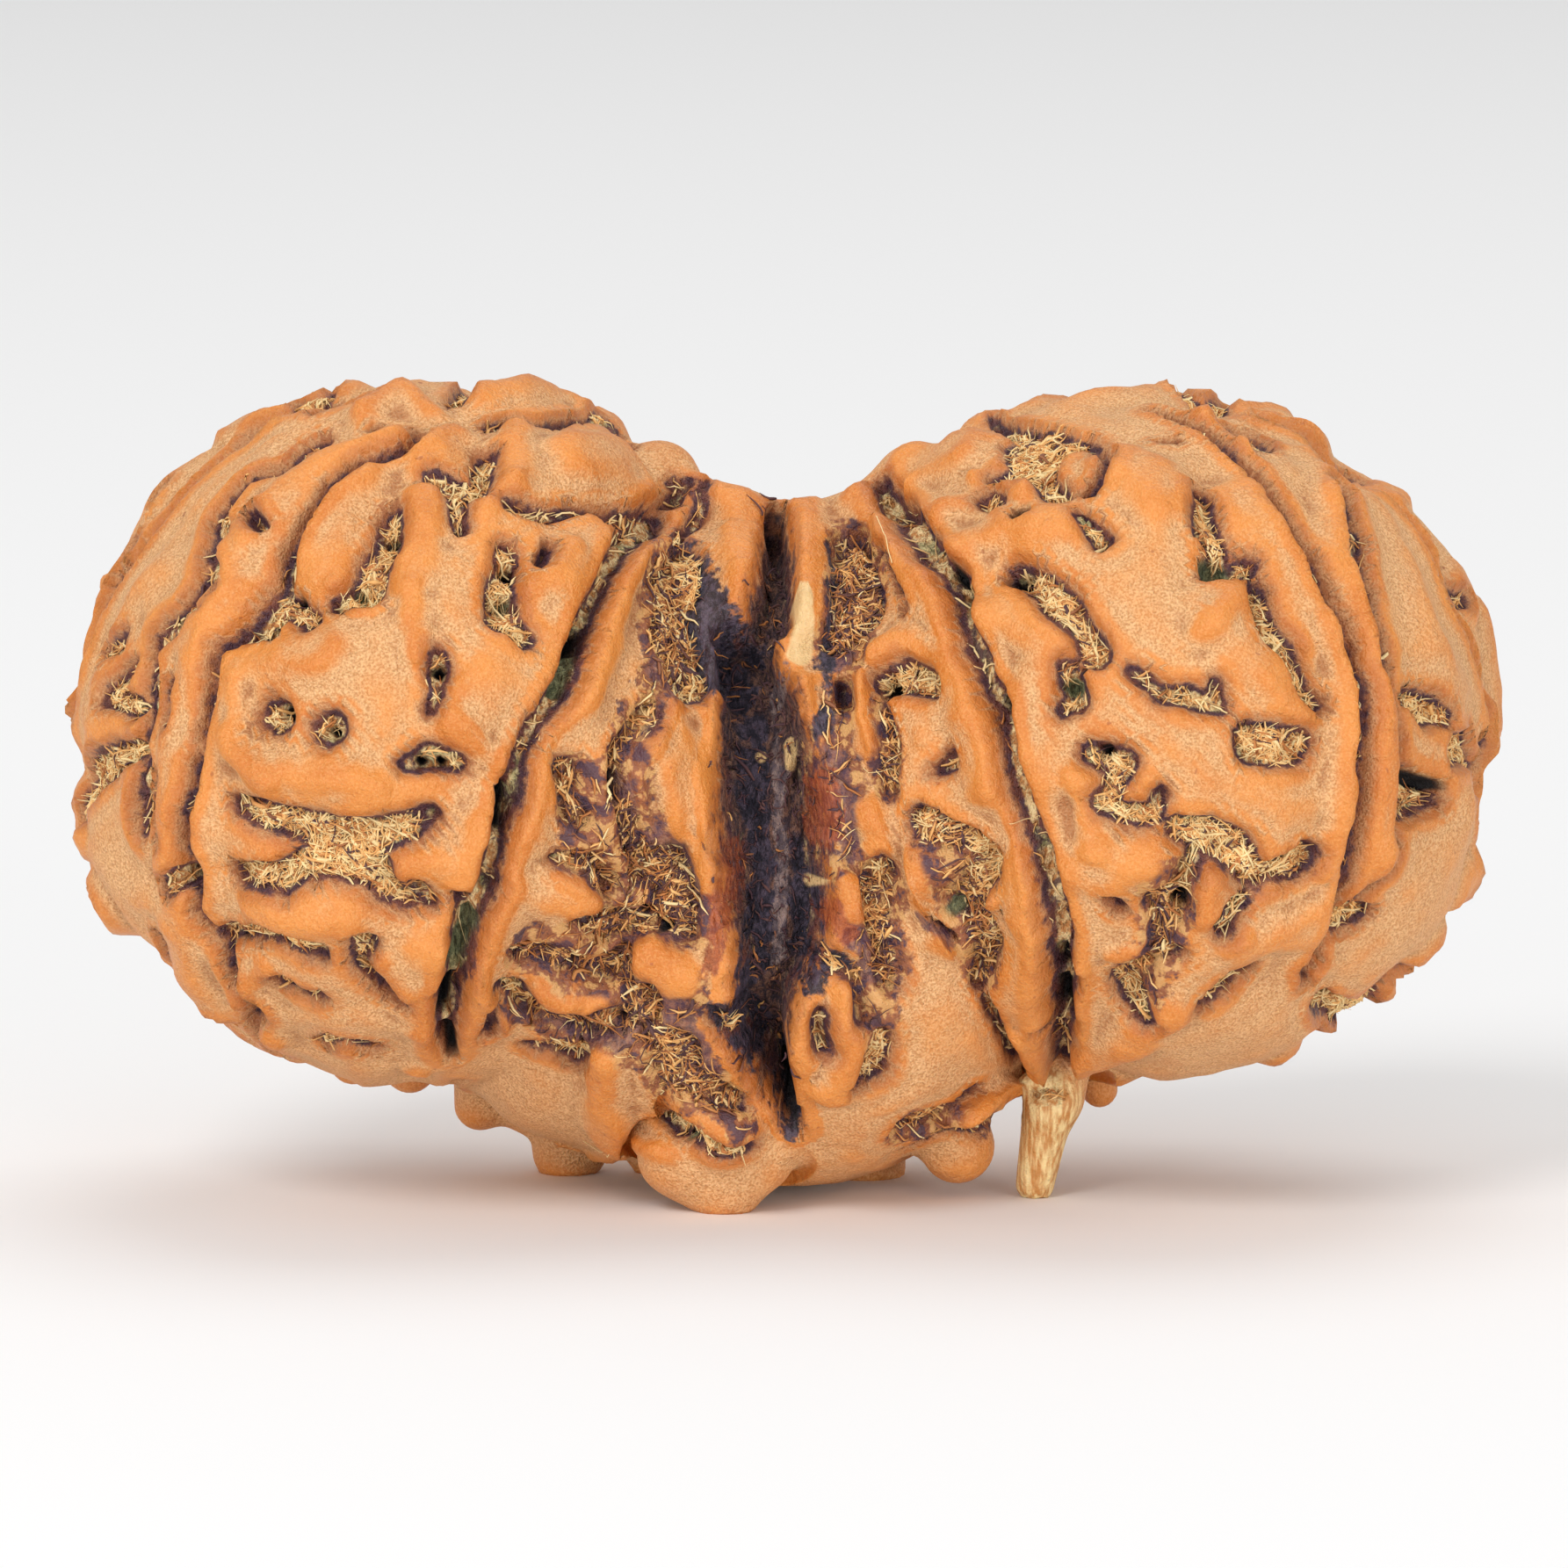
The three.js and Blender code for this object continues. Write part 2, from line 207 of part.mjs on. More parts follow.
// Ridges, fingers and knobs of the front: height, then points of across, up and half-width
const RIDGES = [
  // Left stone
  { height: 0.15, path: [[-10.9, 8.0, 0.5], [-12.4, 8.0, 0.6], [-13.2, 7.2, 0.6], [-14.0, 6.0, 0.6],
    [-14.9, 4.4, 0.6]] },
  { height: 0.35, path: [[-8.7, 7.5, 0.3], [-10.1, 7.0, 0.4], [-11.0, 6.4, 0.4], [-11.9, 5.2, 0.4],
    [-12.0, 4.4, 0.3], [-13.0, 3.1, 0.35], [-13.4, 1.6, 0.35], [-13.5, -0.4, 0.35], [-13.4, -2.8, 0.4],
    [-12.6, -4.4, 0.5]] },
  { height: 0.35, path: [[-9.4, 8.0, 0.3], [-8.6, 8.4, 0.35], [-8.0, 8.0, 0.3]] },
  { height: 0.4, path: [[-7.5, 7.6, 0.4], [-8.0, 6.9, 0.4]] },
  { height: 0.35, path: [[-9.5, 6.6, 0.5], [-10.2, 5.4, 0.6], [-10.1, 4.7, 0.5]] },
  { height: 0.3, path: [[-8.1, 6.2, 0.4], [-8.3, 4.6, 0.45]] },
  { height: 0.3, path: [[-6.3, 7.3, 0.4], [-6.2, 6.6, 0.35]] },
  { height: 0.35, path: [[-7.0, 8.3, 0.35], [-5.4, 8.5, 0.4], [-3.9, 8.3, 0.4]] },
  { height: 0.3, path: [[-4.9, 7.0, 0.7], [-3.7, 6.9, 0.7]] },
  { height: 0.3, path: [[-4.5, 5.6, 0.5], [-5.3, 4.3, 0.5], [-6.9, 1.9, 0.6], [-7.2, 1.2, 0.5]] },
  { height: 0.3, path: [[-12.2, 1.2, 0.4], [-11.2, 0.4, 0.4], [-10.0, 0.4, 0.4], [-9.1, 0.1, 0.45]] },
  { height: 0.3, path: [[-11.5, 2.8, 0.5], [-10.0, 2.9, 0.5]] },
  { height: 0.4, path: [[-8.4, -1.5, 0.4], [-7.3, -1.5, 0.45], [-6.85, -0.8, 0.4]] },
  { height: 0.35, path: [[-11.5, -2.3, 0.4], [-9.8, -2.6, 0.45]] },
  { height: 0.3, path: [[-8.1, -3.3, 0.5], [-8.1, -4.9, 0.5]] },
  { height: 0.3, path: [[-5.5, 0.5, 0.3], [-5.8, -0.9, 0.35], [-6.3, -2.6, 0.4], [-6.9, -4.2, 0.35]] },
  { height: 0.4, path: [[-2.9, 1.1, 0.8], [-2.4, -0.1, 0.7], [-1.75, -1.0, 0.4], [-1.55, -2.2, 0.2]] },
  { height: 0.35, path: [[-6.0, -1.9, 0.5], [-4.9, -2.1, 0.6]] },
  { height: 0.4, path: [[-5.6, -4.2, 0.3], [-4.6, -4.3, 0.3], [-3.9, -4.6, 0.35]] },
  { height: 0.45, path: [[-2.95, -3.6, 0.45], [-2.1, -4.1, 0.45]] },
  { height: 0.45, path: [[-3.7, -5.6, 0.4], [-3.75, -7.1, 0.5]] },
  { height: 0.35, path: [[-2.1, 6.9, 0.3], [-1.1, 6.4, 0.4], [-1.0, 4.5, 0.4]] },
  { height: 0.4, path: [[-1.45, 2.1, 0.2], [-1.4, 1.7, 0.2]] },
  { height: 0.5, path: [[0.3, 2.2, 0.3], [0.3, 0.9, 0.3]] },
  // Rim of the left stone
  { height: 0.4, path: [[-16.1, 1.6, 0.5]] },
  { height: 0.5, path: [[-16.1, -0.9, 0.9]] },
  { height: 0.7, path: [[-15.5, -2.6, 0.9]] },
  { height: 0.15, path: [[-15.2, 4.8, 0.5]] },
  { height: 0.45, path: [[-12.4, 8.3, 0.7], [-11.0, 9.0, 0.8], [-10.2, 9.3, 0.6]] },
  { height: 0.2, path: [[-7.3, 9.2, 0.6]] },
  // Right stone
  { height: 0.35, path: [[0.6, 6.3, 0.3], [0.6, 3.9, 0.35]] },
  { height: 0.35, path: [[1.7, 6.6, 0.4], [2.3, 5.6, 0.35], [3.3, 4.6, 0.4], [3.7, 3.4, 0.4]] },
  { height: 0.35, path: [[3.0, 7.2, 0.7], [4.2, 7.2, 0.8]] },
  { height: 0.4, path: [[3.95, 6.1, 0.35]] },
  { height: 0.35, path: [[4.1, 5.2, 0.4], [4.9, 5.6, 0.5], [6.3, 5.5, 0.5]] },
  { height: 0.4, path: [[5.5, 6.35, 0.3]] },
  { height: 0.35, path: [[4.9, 3.9, 0.4], [6.1, 3.2, 0.5], [5.5, 1.8, 0.5], [6.1, 0.3, 0.5]] },
  { height: 0.4, path: [[2.3, 2.9, 0.25], [3.2, 3.3, 0.35], [3.8, 2.9, 0.35], [4.3, 1.4, 0.4],
    [4.6, 0.2, 0.4]] },
  { height: 0.4, path: [[1.8, 2.2, 0.3], [1.9, 1.0, 0.4]] },
  { height: 0.45, path: [[1.9, -0.5, 0.45], [2.05, -1.0, 0.45]] },
  { height: 0.4, path: [[3.4, -1.5, 0.5], [3.2, -2.3, 0.4]] },
  { height: 0.35, path: [[3.4, -3.2, 0.35]] },
  { height: 0.35, path: [[5.3, -1.6, 0.4], [5.6, -3.0, 0.4], [5.4, -4.4, 0.5], [5.8, -5.7, 0.45]] },
  { height: 0.3, path: [[7.6, 6.9, 0.6], [8.4, 6.2, 0.7]] },
  { height: 0.3, path: [[9.4, 8.0, 0.35]] },
  { height: 0.3, path: [[10.0, 6.2, 0.6], [10.8, 5.2, 0.5], [11.6, 3.4, 0.5]] },
  { height: 0.3, path: [[9.5, 3.9, 0.7], [10.0, 2.8, 0.5], [11.3, 1.8, 0.3]] },
  { height: 0.35, path: [[6.9, -1.5, 0.6], [8.0, -1.4, 0.5]] },
  { height: 0.4, path: [[9.4, -1.7, 0.3], [9.3, -2.4, 0.3]] },
  { height: 0.3, path: [[10.2, -3.1, 0.4], [11.5, -2.8, 0.5]] },
  { height: 0.35, path: [[12.0, 6.3, 0.4], [12.1, 5.0, 0.3], [12.8, 3.9, 0.3], [12.95, 2.4, 0.25],
    [13.1, 0.6, 0.3], [13.0, -1.4, 0.3]] },
  { height: 0.45, path: [[1.25, -4.3, 0.3], [1.35, -5.6, 0.3], [1.0, -6.4, 0.5]] },
  { height: 0.35, path: [[0.4, -5.0, 0.25], [0.4, -6.0, 0.3]] },
  { height: 0.4, path: [[3.9, -7.1, 0.35], [5.1, -6.7, 0.35]] },
  { height: 0.4, path: [[6.9, -5.6, 0.5], [8.6, -4.4, 0.4]] },
  // Rim of the right stone
  { height: 0.35, path: [[9.2, 9.4, 0.6], [10.4, 8.9, 0.6]] },
  { height: 0.3, path: [[6.2, 9.0, 0.5], [4.5, 8.8, 0.6]] },
  { height: 0.3, path: [[12.1, 8.3, 0.6]] },
  { height: 0.3, path: [[11.3, 8.8, 0.6]] },
  { height: 0.3, path: [[13.9, 6.8, 0.5]] },
  { height: 0.3, path: [[15.5, 4.5, 0.7]] },
  { height: 0.2, path: [[16.3, 1.4, 0.8]] },
  { height: 0.4, path: [[15.4, -2.1, 0.7]] },
  { height: 0.5, path: [[14.6, -3.7, 0.9]] },
  { height: 0.6, path: [[13.3, -5.1, 1.0]] },
  { height: 0.3, path: [[11.3, -5.7, 0.5]] },
];

// The valley between the stones behind: depth, then points of across, up and half-width from straight behind
const BACK_VALLEY = {
  depth: 1.7,
  path: [[0.1, 6.0, 0.3], [0.3, 4.4, 0.6], [-0.1, 2.0, 0.9], [0.2, -0.8, 1.0], [-0.1, -3.0, 0.8],
    [0.3, -5.2, 0.5], [0.0, -7.4, 0.3]],
};

// The rest isn't seen from the front. Each stone's clefts run from pole to pole at these turns about its
// upright axis, in degrees from the front, and the pits and ridges are drawn at random with a fixed seed
const BACK_CLEFT_TURNS = [88, 132, 176, 222];
const BACK_CLEFT_DEPTH = 1.1;
const BACK_CLEFT_HALF = 0.28;
const BACK_STROKE_TRIES = 3200;
const BACK_STROKE_GAP = 0.42;
const BACK_STROKE_STEPS = 4;
const BACK_STROKE_STEP = 0.8;
const BACK_PIT_SHARE = 0.6;
const BACK_EDGE = 0.1;
const SEED = 29;

const smooth = (t) => {
  const s = THREE.MathUtils.clamp(t, 0, 1);
  return s * s * (3 - 2 * s);
};

// Random numbers from 0 to 1, the same in every run
function makeRandom(seed) {
  let state = seed >>> 0;
  return () => {
    state = (Math.imul(state, 1664525) + 1013904223) >>> 0;
    return state / 4294967296;
  };
}

// Joins two signed distances with a round fillet
function blended(a, b, blend) {
  const overlap = Math.max(blend - Math.abs(a - b), 0) / blend;
  return Math.min(a, b) - overlap * overlap * blend * 0.25;
}

// Distance from a point to a tapered segment, less its half-width there
function taperDistance(p, a, b, halfA, halfB) {
  const abX = b.x - a.x;
  const abY = b.y - a.y;
  const abZ = b.z - a.z;
  const apX = p.x - a.x;
  const apY = p.y - a.y;
  const apZ = p.z - a.z;
  const lengthSquared = abX * abX + abY * abY + abZ * abZ;
  const along = lengthSquared > 0 ? (apX * abX + apY * abY + apZ * abZ) / lengthSquared : 0;
  const t = Math.min(Math.max(along, 0), 1);
  const distance = Math.hypot(apX - abX * t, apY - abY * t, apZ - abZ * t);
  return { distance, half: halfA + (halfB - halfA) * t };
}

const lumps = LUMPS.map(({ from, to, half, blend }) => ({
  a: new THREE.Vector3(...from), b: new THREE.Vector3(...to), half, blend,
}));

// Signed distance to the masses alone
function masses(p) {
  let field = Infinity;
  for (const { middle, radii } of MASSES) {
    const x = (p.x - middle[0]) / radii[0];
    const y = (p.y - middle[1]) / radii[1];
    const z = (p.z - middle[2]) / radii[2];
    const reach = Math.sqrt(x * x + y * y + z * z);
    const slope = Math.hypot(x / radii[0], y / radii[1], z / radii[2]);
    const mass = slope > 0 ? (reach * (reach - 1)) / slope : -Math.min(...radii);
    field = field === Infinity ? mass : blended(field, mass, MASS_BLEND);
  }
  return field;
}

// Signed distance to the plain body, without its relief
function body(p) {
  let field = masses(p);
  for (const { a, b, half, blend } of lumps) {
    const near = taperDistance(p, a, b, half[0], half[1]);
    field = blended(field, near.distance - near.half, blend);
  }
  return field;
}

function slopeOf(field, p, step = 0.02) {
  const q = p.clone();
  const slope = new THREE.Vector3();
  for (const axis of ['x', 'y', 'z']) {
    q[axis] = p[axis] + step;
    const ahead = field(q);
    q[axis] = p[axis] - step;
    slope[axis] = (ahead - field(q)) / (2 * step);
    q[axis] = p[axis];
  }
  return slope;
}

// Moves a point onto the plain body by the shortest way
function ontoBody(p) {
  const q = p.clone();
  for (let turn = 0; turn < 8; turn += 1) {
    const slope = slopeOf(body, q);
    q.addScaledVector(slope, -body(q) / Math.max(slope.lengthSq(), 0.05));
  }
  return q;
}

// The place on the body that someone sees at this much across and up, or the rim nearest to it
function seenPoint(across, up, sightUp = SIGHT_UP, sightIn = SIGHT_IN) {
  const p = new THREE.Vector3(across, 0, 0).addScaledVector(sightUp, up).addScaledVector(sightIn, -14);
  const nearest = p.clone();
  let least = Infinity;
  for (let travelled = 0; travelled < 18;) {
    const gap = body(p);
    if (gap < least) {
      least = gap;
      nearest.copy(p);
    }
    if (gap < 0.01) return p;
    const stride = Math.max(gap * 0.8, 0.02);
    travelled += stride;
    p.addScaledVector(sightIn, stride);
  }
  return ontoBody(nearest);
}

// A stroke on the body: its points, half-widths and a sphere that holds it
function makeStroke(points, halves, size) {
  const middle = new THREE.Box3().setFromPoints(points).getCenter(new THREE.Vector3());
  const reach = Math.max(...points.map((point, i) => point.distanceTo(middle) + halves[i]));
  return { points, halves, middle, reach, ...size };
}

const seenStroke = ({ path, ...size }) => makeStroke(
  path.map(([across, up]) => seenPoint(across, up)),
  path.map(([, , half]) => Math.max(half, THINNEST_STROKE)),
  size,
);

// Distance from a point of the body to a stroke's edge
function strokeDistance(p, stroke) {
  const { points, halves } = stroke;
  let least = Infinity;
  for (let i = 0; i < Math.max(points.length - 1, 1); i += 1) {
    const next = Math.min(i + 1, points.length - 1);
    const near = taperDistance(p, points[i], points[next], halves[i], halves[next]);
    least = Math.min(least, near.distance - near.half);
  }
  return least;
}

// A place on the body at a turn from the front and a tilt from the top, about an upright axis
function polarPoint(across, turn, tilt) {
  const level = Math.sin(tilt);
  const way = new THREE.Vector3(Math.sin(turn) * level, -Math.cos(turn) * level, Math.cos(tilt));
  return ontoBody(new THREE.Vector3(across, 0, STONE_RISE).addScaledVector(way, STONE_RADIUS));
}

function backClefts() {
  const clefts = [];
  for (const stone of [-1, 1]) {
    BACK_CLEFT_TURNS.forEach((degrees, order) => {
      const turn = THREE.MathUtils.degToRad(stone * degrees);
      const points = [];
      for (let tilt = 0.35; tilt < 2.7; tilt += 0.16) {
        const sway = 0.1 * Math.sin(3.1 * tilt + 2.3 * order + stone) + 0.04 * Math.sin(9.7 * tilt + order);
        points.push(polarPoint(stone * STONE_APART, turn + sway, tilt));
      }
      const halves = points.map((_, i) => BACK_CLEFT_HALF + 0.08 * Math.sin(1.7 * i + order));
      clefts.push(makeStroke(points, halves, { depth: BACK_CLEFT_DEPTH }));
    });
  }
  const valleyPoints = BACK_VALLEY.path.map(([across, up]) => (
    seenPoint(across, up, new THREE.Vector3(0, 0, 1), new THREE.Vector3(0, -1, 0))
  ));
  return [...clefts, makeStroke(valleyPoints, BACK_VALLEY.path.map(([, , half]) => half), BACK_VALLEY)];
}

// Short crooked strokes over the side that isn't seen from the front, clear of each other and of the clefts
function backStrokes(clefts) {
  const random = makeRandom(SEED);
  const kept = [];
  for (let attempt = 0; attempt < BACK_STROKE_TRIES; attempt += 1) {
    const across = (random() * 2 - 1) * STONE_APART * 1.25;
    const turn = random() * Math.PI * 2;
    const tilt = Math.acos(1 - 2 * random());
    const heading = random() * Math.PI * 2;
    const bend = (random() - 0.5) * 1.6;
    const wanted = 1 + Math.floor(random() * BACK_STROKE_STEPS);
    const half = 0.24 + 0.2 * random();
    const isPit = random() < BACK_PIT_SHARE;
    const points = [polarPoint(across, turn, tilt)];
    const normal = slopeOf(body, points[0]).normalize();
    const side = new THREE.Vector3(0, 0, 1).cross(normal).normalize();
    const rise = normal.clone().cross(side);
    for (let step = 0; step < wanted; step += 1) {
      const way = heading + bend * step;
      const next = points[step].clone();
      next.addScaledVector(side, Math.cos(way) * BACK_STROKE_STEP);
      next.addScaledVector(rise, Math.sin(way) * BACK_STROKE_STEP);
      points.push(ontoBody(next));
    }
    const hidden = points.every((point) => slopeOf(body, point).normalize().dot(SIGHT_IN) > BACK_EDGE);
    const clear = points.every((point) => (
      kept.every((stroke) => strokeDistance(point, stroke) > half + BACK_STROKE_GAP)
      && clefts.every((cleft) => strokeDistance(point, cleft) > half + BACK_STROKE_GAP * 0.6)
    ));
    if (!hidden || !clear || points.some((point) => point.z < FLOOR_Z + 1.2)) continue;
    const size = isPit ? { depth: 0.6 + half * 0.6 } : { height: 0.35 };
    kept.push(makeStroke(points, points.map(() => half * (isPit ? 1 : 1.3)), size));
  }
  return kept;
}

const clefts = [...CLEFTS.map(seenStroke), ...backClefts()];
const scattered = backStrokes(clefts);
const pits = [...PITS.map(seenStroke), ...scattered.filter((stroke) => stroke.depth)];
const ridges = [...RIDGES.map(seenStroke), ...scattered.filter((stroke) => stroke.height)];

const isNear = (p, stroke, reach) => stroke.middle.distanceTo(p) < stroke.reach + reach;
const wallShare = (aside) => smooth((WALL - aside) / (2 * WALL));

// Height of the relief over the body at a point of it
function relief(p) {
  let clefted = SEGMENT_REACH;
  let sunk = 0;
  for (const stroke of clefts) {
    if (!isNear(p, stroke, SEGMENT_REACH)) continue;
    const aside = strokeDistance(p, stroke);
    clefted = Math.min(clefted, aside);
    sunk = Math.max(sunk, stroke.depth * wallShare(aside));
  }
  let pitted = PLATE_REACH;
  for (const stroke of pits) {
    if (!isNear(p, stroke, PLATE_REACH)) continue;
    const aside = strokeDistance(p, stroke);
    pitted = Math.min(pitted, aside);
    sunk = Math.max(sunk, stroke.depth * wallShare(aside));
  }
  let raised = 0;
  for (const stroke of ridges) {
    if (!isNear(p, stroke, 0.6)) continue;
    const aside = strokeDistance(p, stroke);
    raised = Math.max(raised, stroke.height * smooth(0.5 - aside));
  }
  const onMasses = 1 - smooth(masses(p) / LUMP_CLEARANCE);
  const segment = SEGMENT_RISE * smooth(clefted / SEGMENT_REACH);
  const plate = PLATE_RISE * smooth(pitted / PLATE_REACH);
  return (segment + plate) * onMasses + raised - sunk;
}

// The six tetrahedra of a grid cube, each a walk along the three axes from corner 0 to corner 7
const WALKS = [[0, 1, 3, 7], [0, 1, 5, 7], [0, 2, 3, 7], [0, 2, 6, 7], [0, 4, 5, 7], [0, 4, 6, 7]];

// Closed triangle mesh of the zero surface of a field inside a box
function meshField(field, box, step) {
  const count = ['x', 'y', 'z'].map((axis) => Math.ceil((box.max[axis] - box.min[axis]) / step) + 1);
  const values = new Float64Array(count[0] * count[1] * count[2]);
  const place = (index, target) => target.set(
    box.min.x + step * (index % count[0]),
    box.min.y + step * (Math.floor(index / count[0]) % count[1]),
    box.min.z + step * Math.floor(index / (count[0] * count[1])),
  );
  const p = new THREE.Vector3();
  for (let i = 0; i < values.length; i += 1) values[i] = field(place(i, p)) || 1e-9;
  const vertices = [];
  const triangles = [];
  const known = new Map();
  const a = new THREE.Vector3();
  const b = new THREE.Vector3();
  const crossing = (i, j) => {
    const key = i < j ? i * values.length + j : j * values.length + i;
    if (!known.has(key)) {
      const share = THREE.MathUtils.clamp(values[i] / (values[i] - values[j]), 0.04, 0.96);
      vertices.push(place(i, a).clone().lerp(place(j, b), share));
      known.set(key, vertices.length - 1);
    }
    return known.get(key);
  };
  const middleOf = (indices) => indices.reduce((sum, index) => sum.add(place(index, a)), new THREE.Vector3())
    .divideScalar(indices.length);
  const addTriangle = (corners, outward) => {
    const [u, v, w] = corners.map((corner) => vertices[corner]);
    const normal = v.clone().sub(u).cross(w.clone().sub(u));
    triangles.push(normal.dot(outward) > 0 ? corners : [corners[0], corners[2], corners[1]]);
  };
  const row = count[0];
  const layer = count[0] * count[1];
  const cornerSteps = [0, 1, row, row + 1, layer, layer + 1, layer + row, layer + row + 1];
  for (let origin = 0; origin < values.length - cornerSteps[7]; origin += 1) {
    const atEnd = origin % row === row - 1 || Math.floor(origin / row) % count[1] === count[1] - 1;
    const isInside = values[origin] < 0;
    if (atEnd || cornerSteps.every((step) => values[origin + step] < 0 === isInside)) continue;
    for (const walk of WALKS) {
      const inside = walk.map((corner) => origin + cornerSteps[corner]).filter((index) => values[index] < 0);
      const outside = walk.map((corner) => origin + cornerSteps[corner]).filter((index) => values[index] > 0);
      if (inside.length === 0 || outside.length === 0) continue;
      const outward = middleOf(outside).sub(middleOf(inside));
      if (inside.length === 1) {
        addTriangle(outside.map((index) => crossing(inside[0], index)), outward);
      } else if (inside.length === 3) {
        addTriangle(inside.map((index) => crossing(index, outside[0])), outward);
      } else {
        const ring = [
          crossing(inside[0], outside[0]), crossing(inside[0], outside[1]),
          crossing(inside[1], outside[1]), crossing(inside[1], outside[0]),
        ];
        addTriangle([ring[0], ring[1], ring[2]], outward);
        addTriangle([ring[0], ring[2], ring[3]], outward);
      }
    }
  }
  return { vertices, triangles };
}

// A list that gives back its cheapest entry first
class CheapestFirst {
  entries = [];

  add(entry) {
    const { entries } = this;
    let at = entries.push(entry) - 1;
    while (at > 0) {
      const above = (at - 1) >> 1;
      if (entries[above].cost <= entry.cost) break;
      entries[at] = entries[above];
      at = above;
    }
    entries[at] = entry;
  }

  take() {
    const { entries } = this;
    const first = entries[0];
    const last = entries.pop();
    if (entries.length === 0) return first;
    let at = 0;
    for (;;) {
      let below = at * 2 + 1;
      if (below >= entries.length) break;
      if (below + 1 < entries.length && entries[below + 1].cost < entries[below].cost) below += 1;
      if (entries[below].cost >= last.cost) break;
      entries[at] = entries[below];
      at = below;
    }
    entries[at] = last;
    return first;
  }
}

// The squared distance to a plane, as the ten numbers of its quadric
function planeQuadric(normal, offset, weight) {
  const { x, y, z } = normal;
  return [x * x, x * y, x * z, x * offset, y * y, y * z, y * offset, z * z, z * offset, offset * offset]
    .map((value) => value * weight);
}

function quadricAt(q, { x, y, z }) {
  return q[0] * x * x + 2 * q[1] * x * y + 2 * q[2] * x * z + 2 * q[3] * x + q[4] * y * y
    + 2 * q[5] * y * z + 2 * q[6] * y + q[7] * z * z + 2 * q[8] * z + q[9];
}

// Height of a triangle over its longest side, as a share of that side
function slimness(a, b, c) {
  const longest = Math.max(a.distanceTo(b), b.distanceTo(c), c.distanceTo(a));
  return b.clone().sub(a).cross(c.clone().sub(a)).length() / (longest * longest);
}

// Joins the ends of edges, cheapest first, until few enough triangles are left. Each vertex keeps the planes
// of the triangles that it stands for, and an edge costs the distance of its joined vertex from both ends'
function simplify({ vertices, triangles }, most) {
  const POINT_PULL = 0.002;
  const SLIMMEST = 0.08;
  const quadrics = vertices.map(() => new Array(10).fill(0));
  const around = vertices.map(() => new Set());
  const stamps = vertices.map(() => 0);
  triangles.forEach((corners, index) => {
    const [a, b, c] = corners.map((corner) => vertices[corner]);
    const normal = b.clone().sub(a).cross(c.clone().sub(a));
    const area = normal.length() / 2;
    normal.normalize();
    const quadric = planeQuadric(normal, -normal.dot(a), area);
    for (const corner of corners) {
      around[corner].add(index);
      quadric.forEach((value, i) => { quadrics[corner][i] += value; });
    }
  });
  const neighbours = (vertex) => {
    const found = new Set();
    for (const index of around[vertex]) for (const corner of triangles[index]) found.add(corner);
    found.delete(vertex);
    return found;
  };
  const bestPlace = (u, v, quadric) => {
    const middle = vertices[u].clone().lerp(vertices[v], 0.5);
    const length = vertices[u].distanceTo(vertices[v]);
    const pull = POINT_PULL;
    const matrix = new THREE.Matrix3().set(
      quadric[0] + pull, quadric[1], quadric[2],
      quadric[1], quadric[4] + pull, quadric[5],
      quadric[2], quadric[5], quadric[7] + pull,
    );
    const target = new THREE.Vector3(
      pull * middle.x - quadric[3], pull * middle.y - quadric[6], pull * middle.z - quadric[8],
    );
    const best = target.applyMatrix3(matrix.invert());
    return best.distanceTo(middle) < length ? best : middle;
  };
  const queue = new CheapestFirst();
  const offer = (u, v) => {
    const quadric = quadrics[u].map((value, i) => value + quadrics[v][i]);
    const place = bestPlace(u, v, quadric);
    const spread = vertices[u].distanceToSquared(vertices[v]);
    const cost = Math.max(quadricAt(quadric, place), 0) + POINT_PULL * spread;
    queue.add({ cost, u, v, place, stamp: stamps[u] + stamps[v] });
  };
  vertices.forEach((_, u) => {
    for (const v of neighbours(u)) if (u < v) offer(u, v);
  });
  const keepsShape = (moved, gone, place) => [...around[moved]].every((index) => {
    const corners = triangles[index];
    if (corners.includes(gone)) return true;
    const before = corners.map((corner) => vertices[corner]);
    const after = corners.map((corner) => (corner === moved ? place : vertices[corner]));
    const normals = [before, after].map(([a, b, c]) => b.clone().sub(a).cross(c.clone().sub(a)).normalize());
    const slim = slimness(...after);
    return normals[0].dot(normals[1]) > 0.2 && (slim > SLIMMEST || slim > slimness(...before));
  });
  let left = triangles.length;
  while (left > most && queue.entries.length > 0) {
    const { u, v, place, stamp } = queue.take();
    if (around[u].size === 0 || around[v].size === 0 || stamp !== stamps[u] + stamps[v]) continue;
    const shared = [...neighbours(u)].filter((corner) => neighbours(v).has(corner));
    if (shared.length !== 2 || !keepsShape(u, v, place) || !keepsShape(v, u, place)) continue;
    for (const index of around[v]) {
      if (around[u].has(index)) {
        for (const corner of triangles[index]) if (corner !== v) around[corner].delete(index);
        triangles[index] = null;
        left -= 1;
      } else {
        triangles[index] = triangles[index].map((corner) => (corner === v ? u : corner));
        around[u].add(index);
      }
    }
    around[v].clear();
    quadrics[v].forEach((value, i) => { quadrics[u][i] += value; });
    vertices[u].copy(place);
    const ring = neighbours(u);
    stamps[u] += 1;
    stamps[v] = Infinity;
    for (const w of ring) offer(u, w);
  }
  return { vertices, triangles: triangles.filter((corners) => corners !== null) };
}

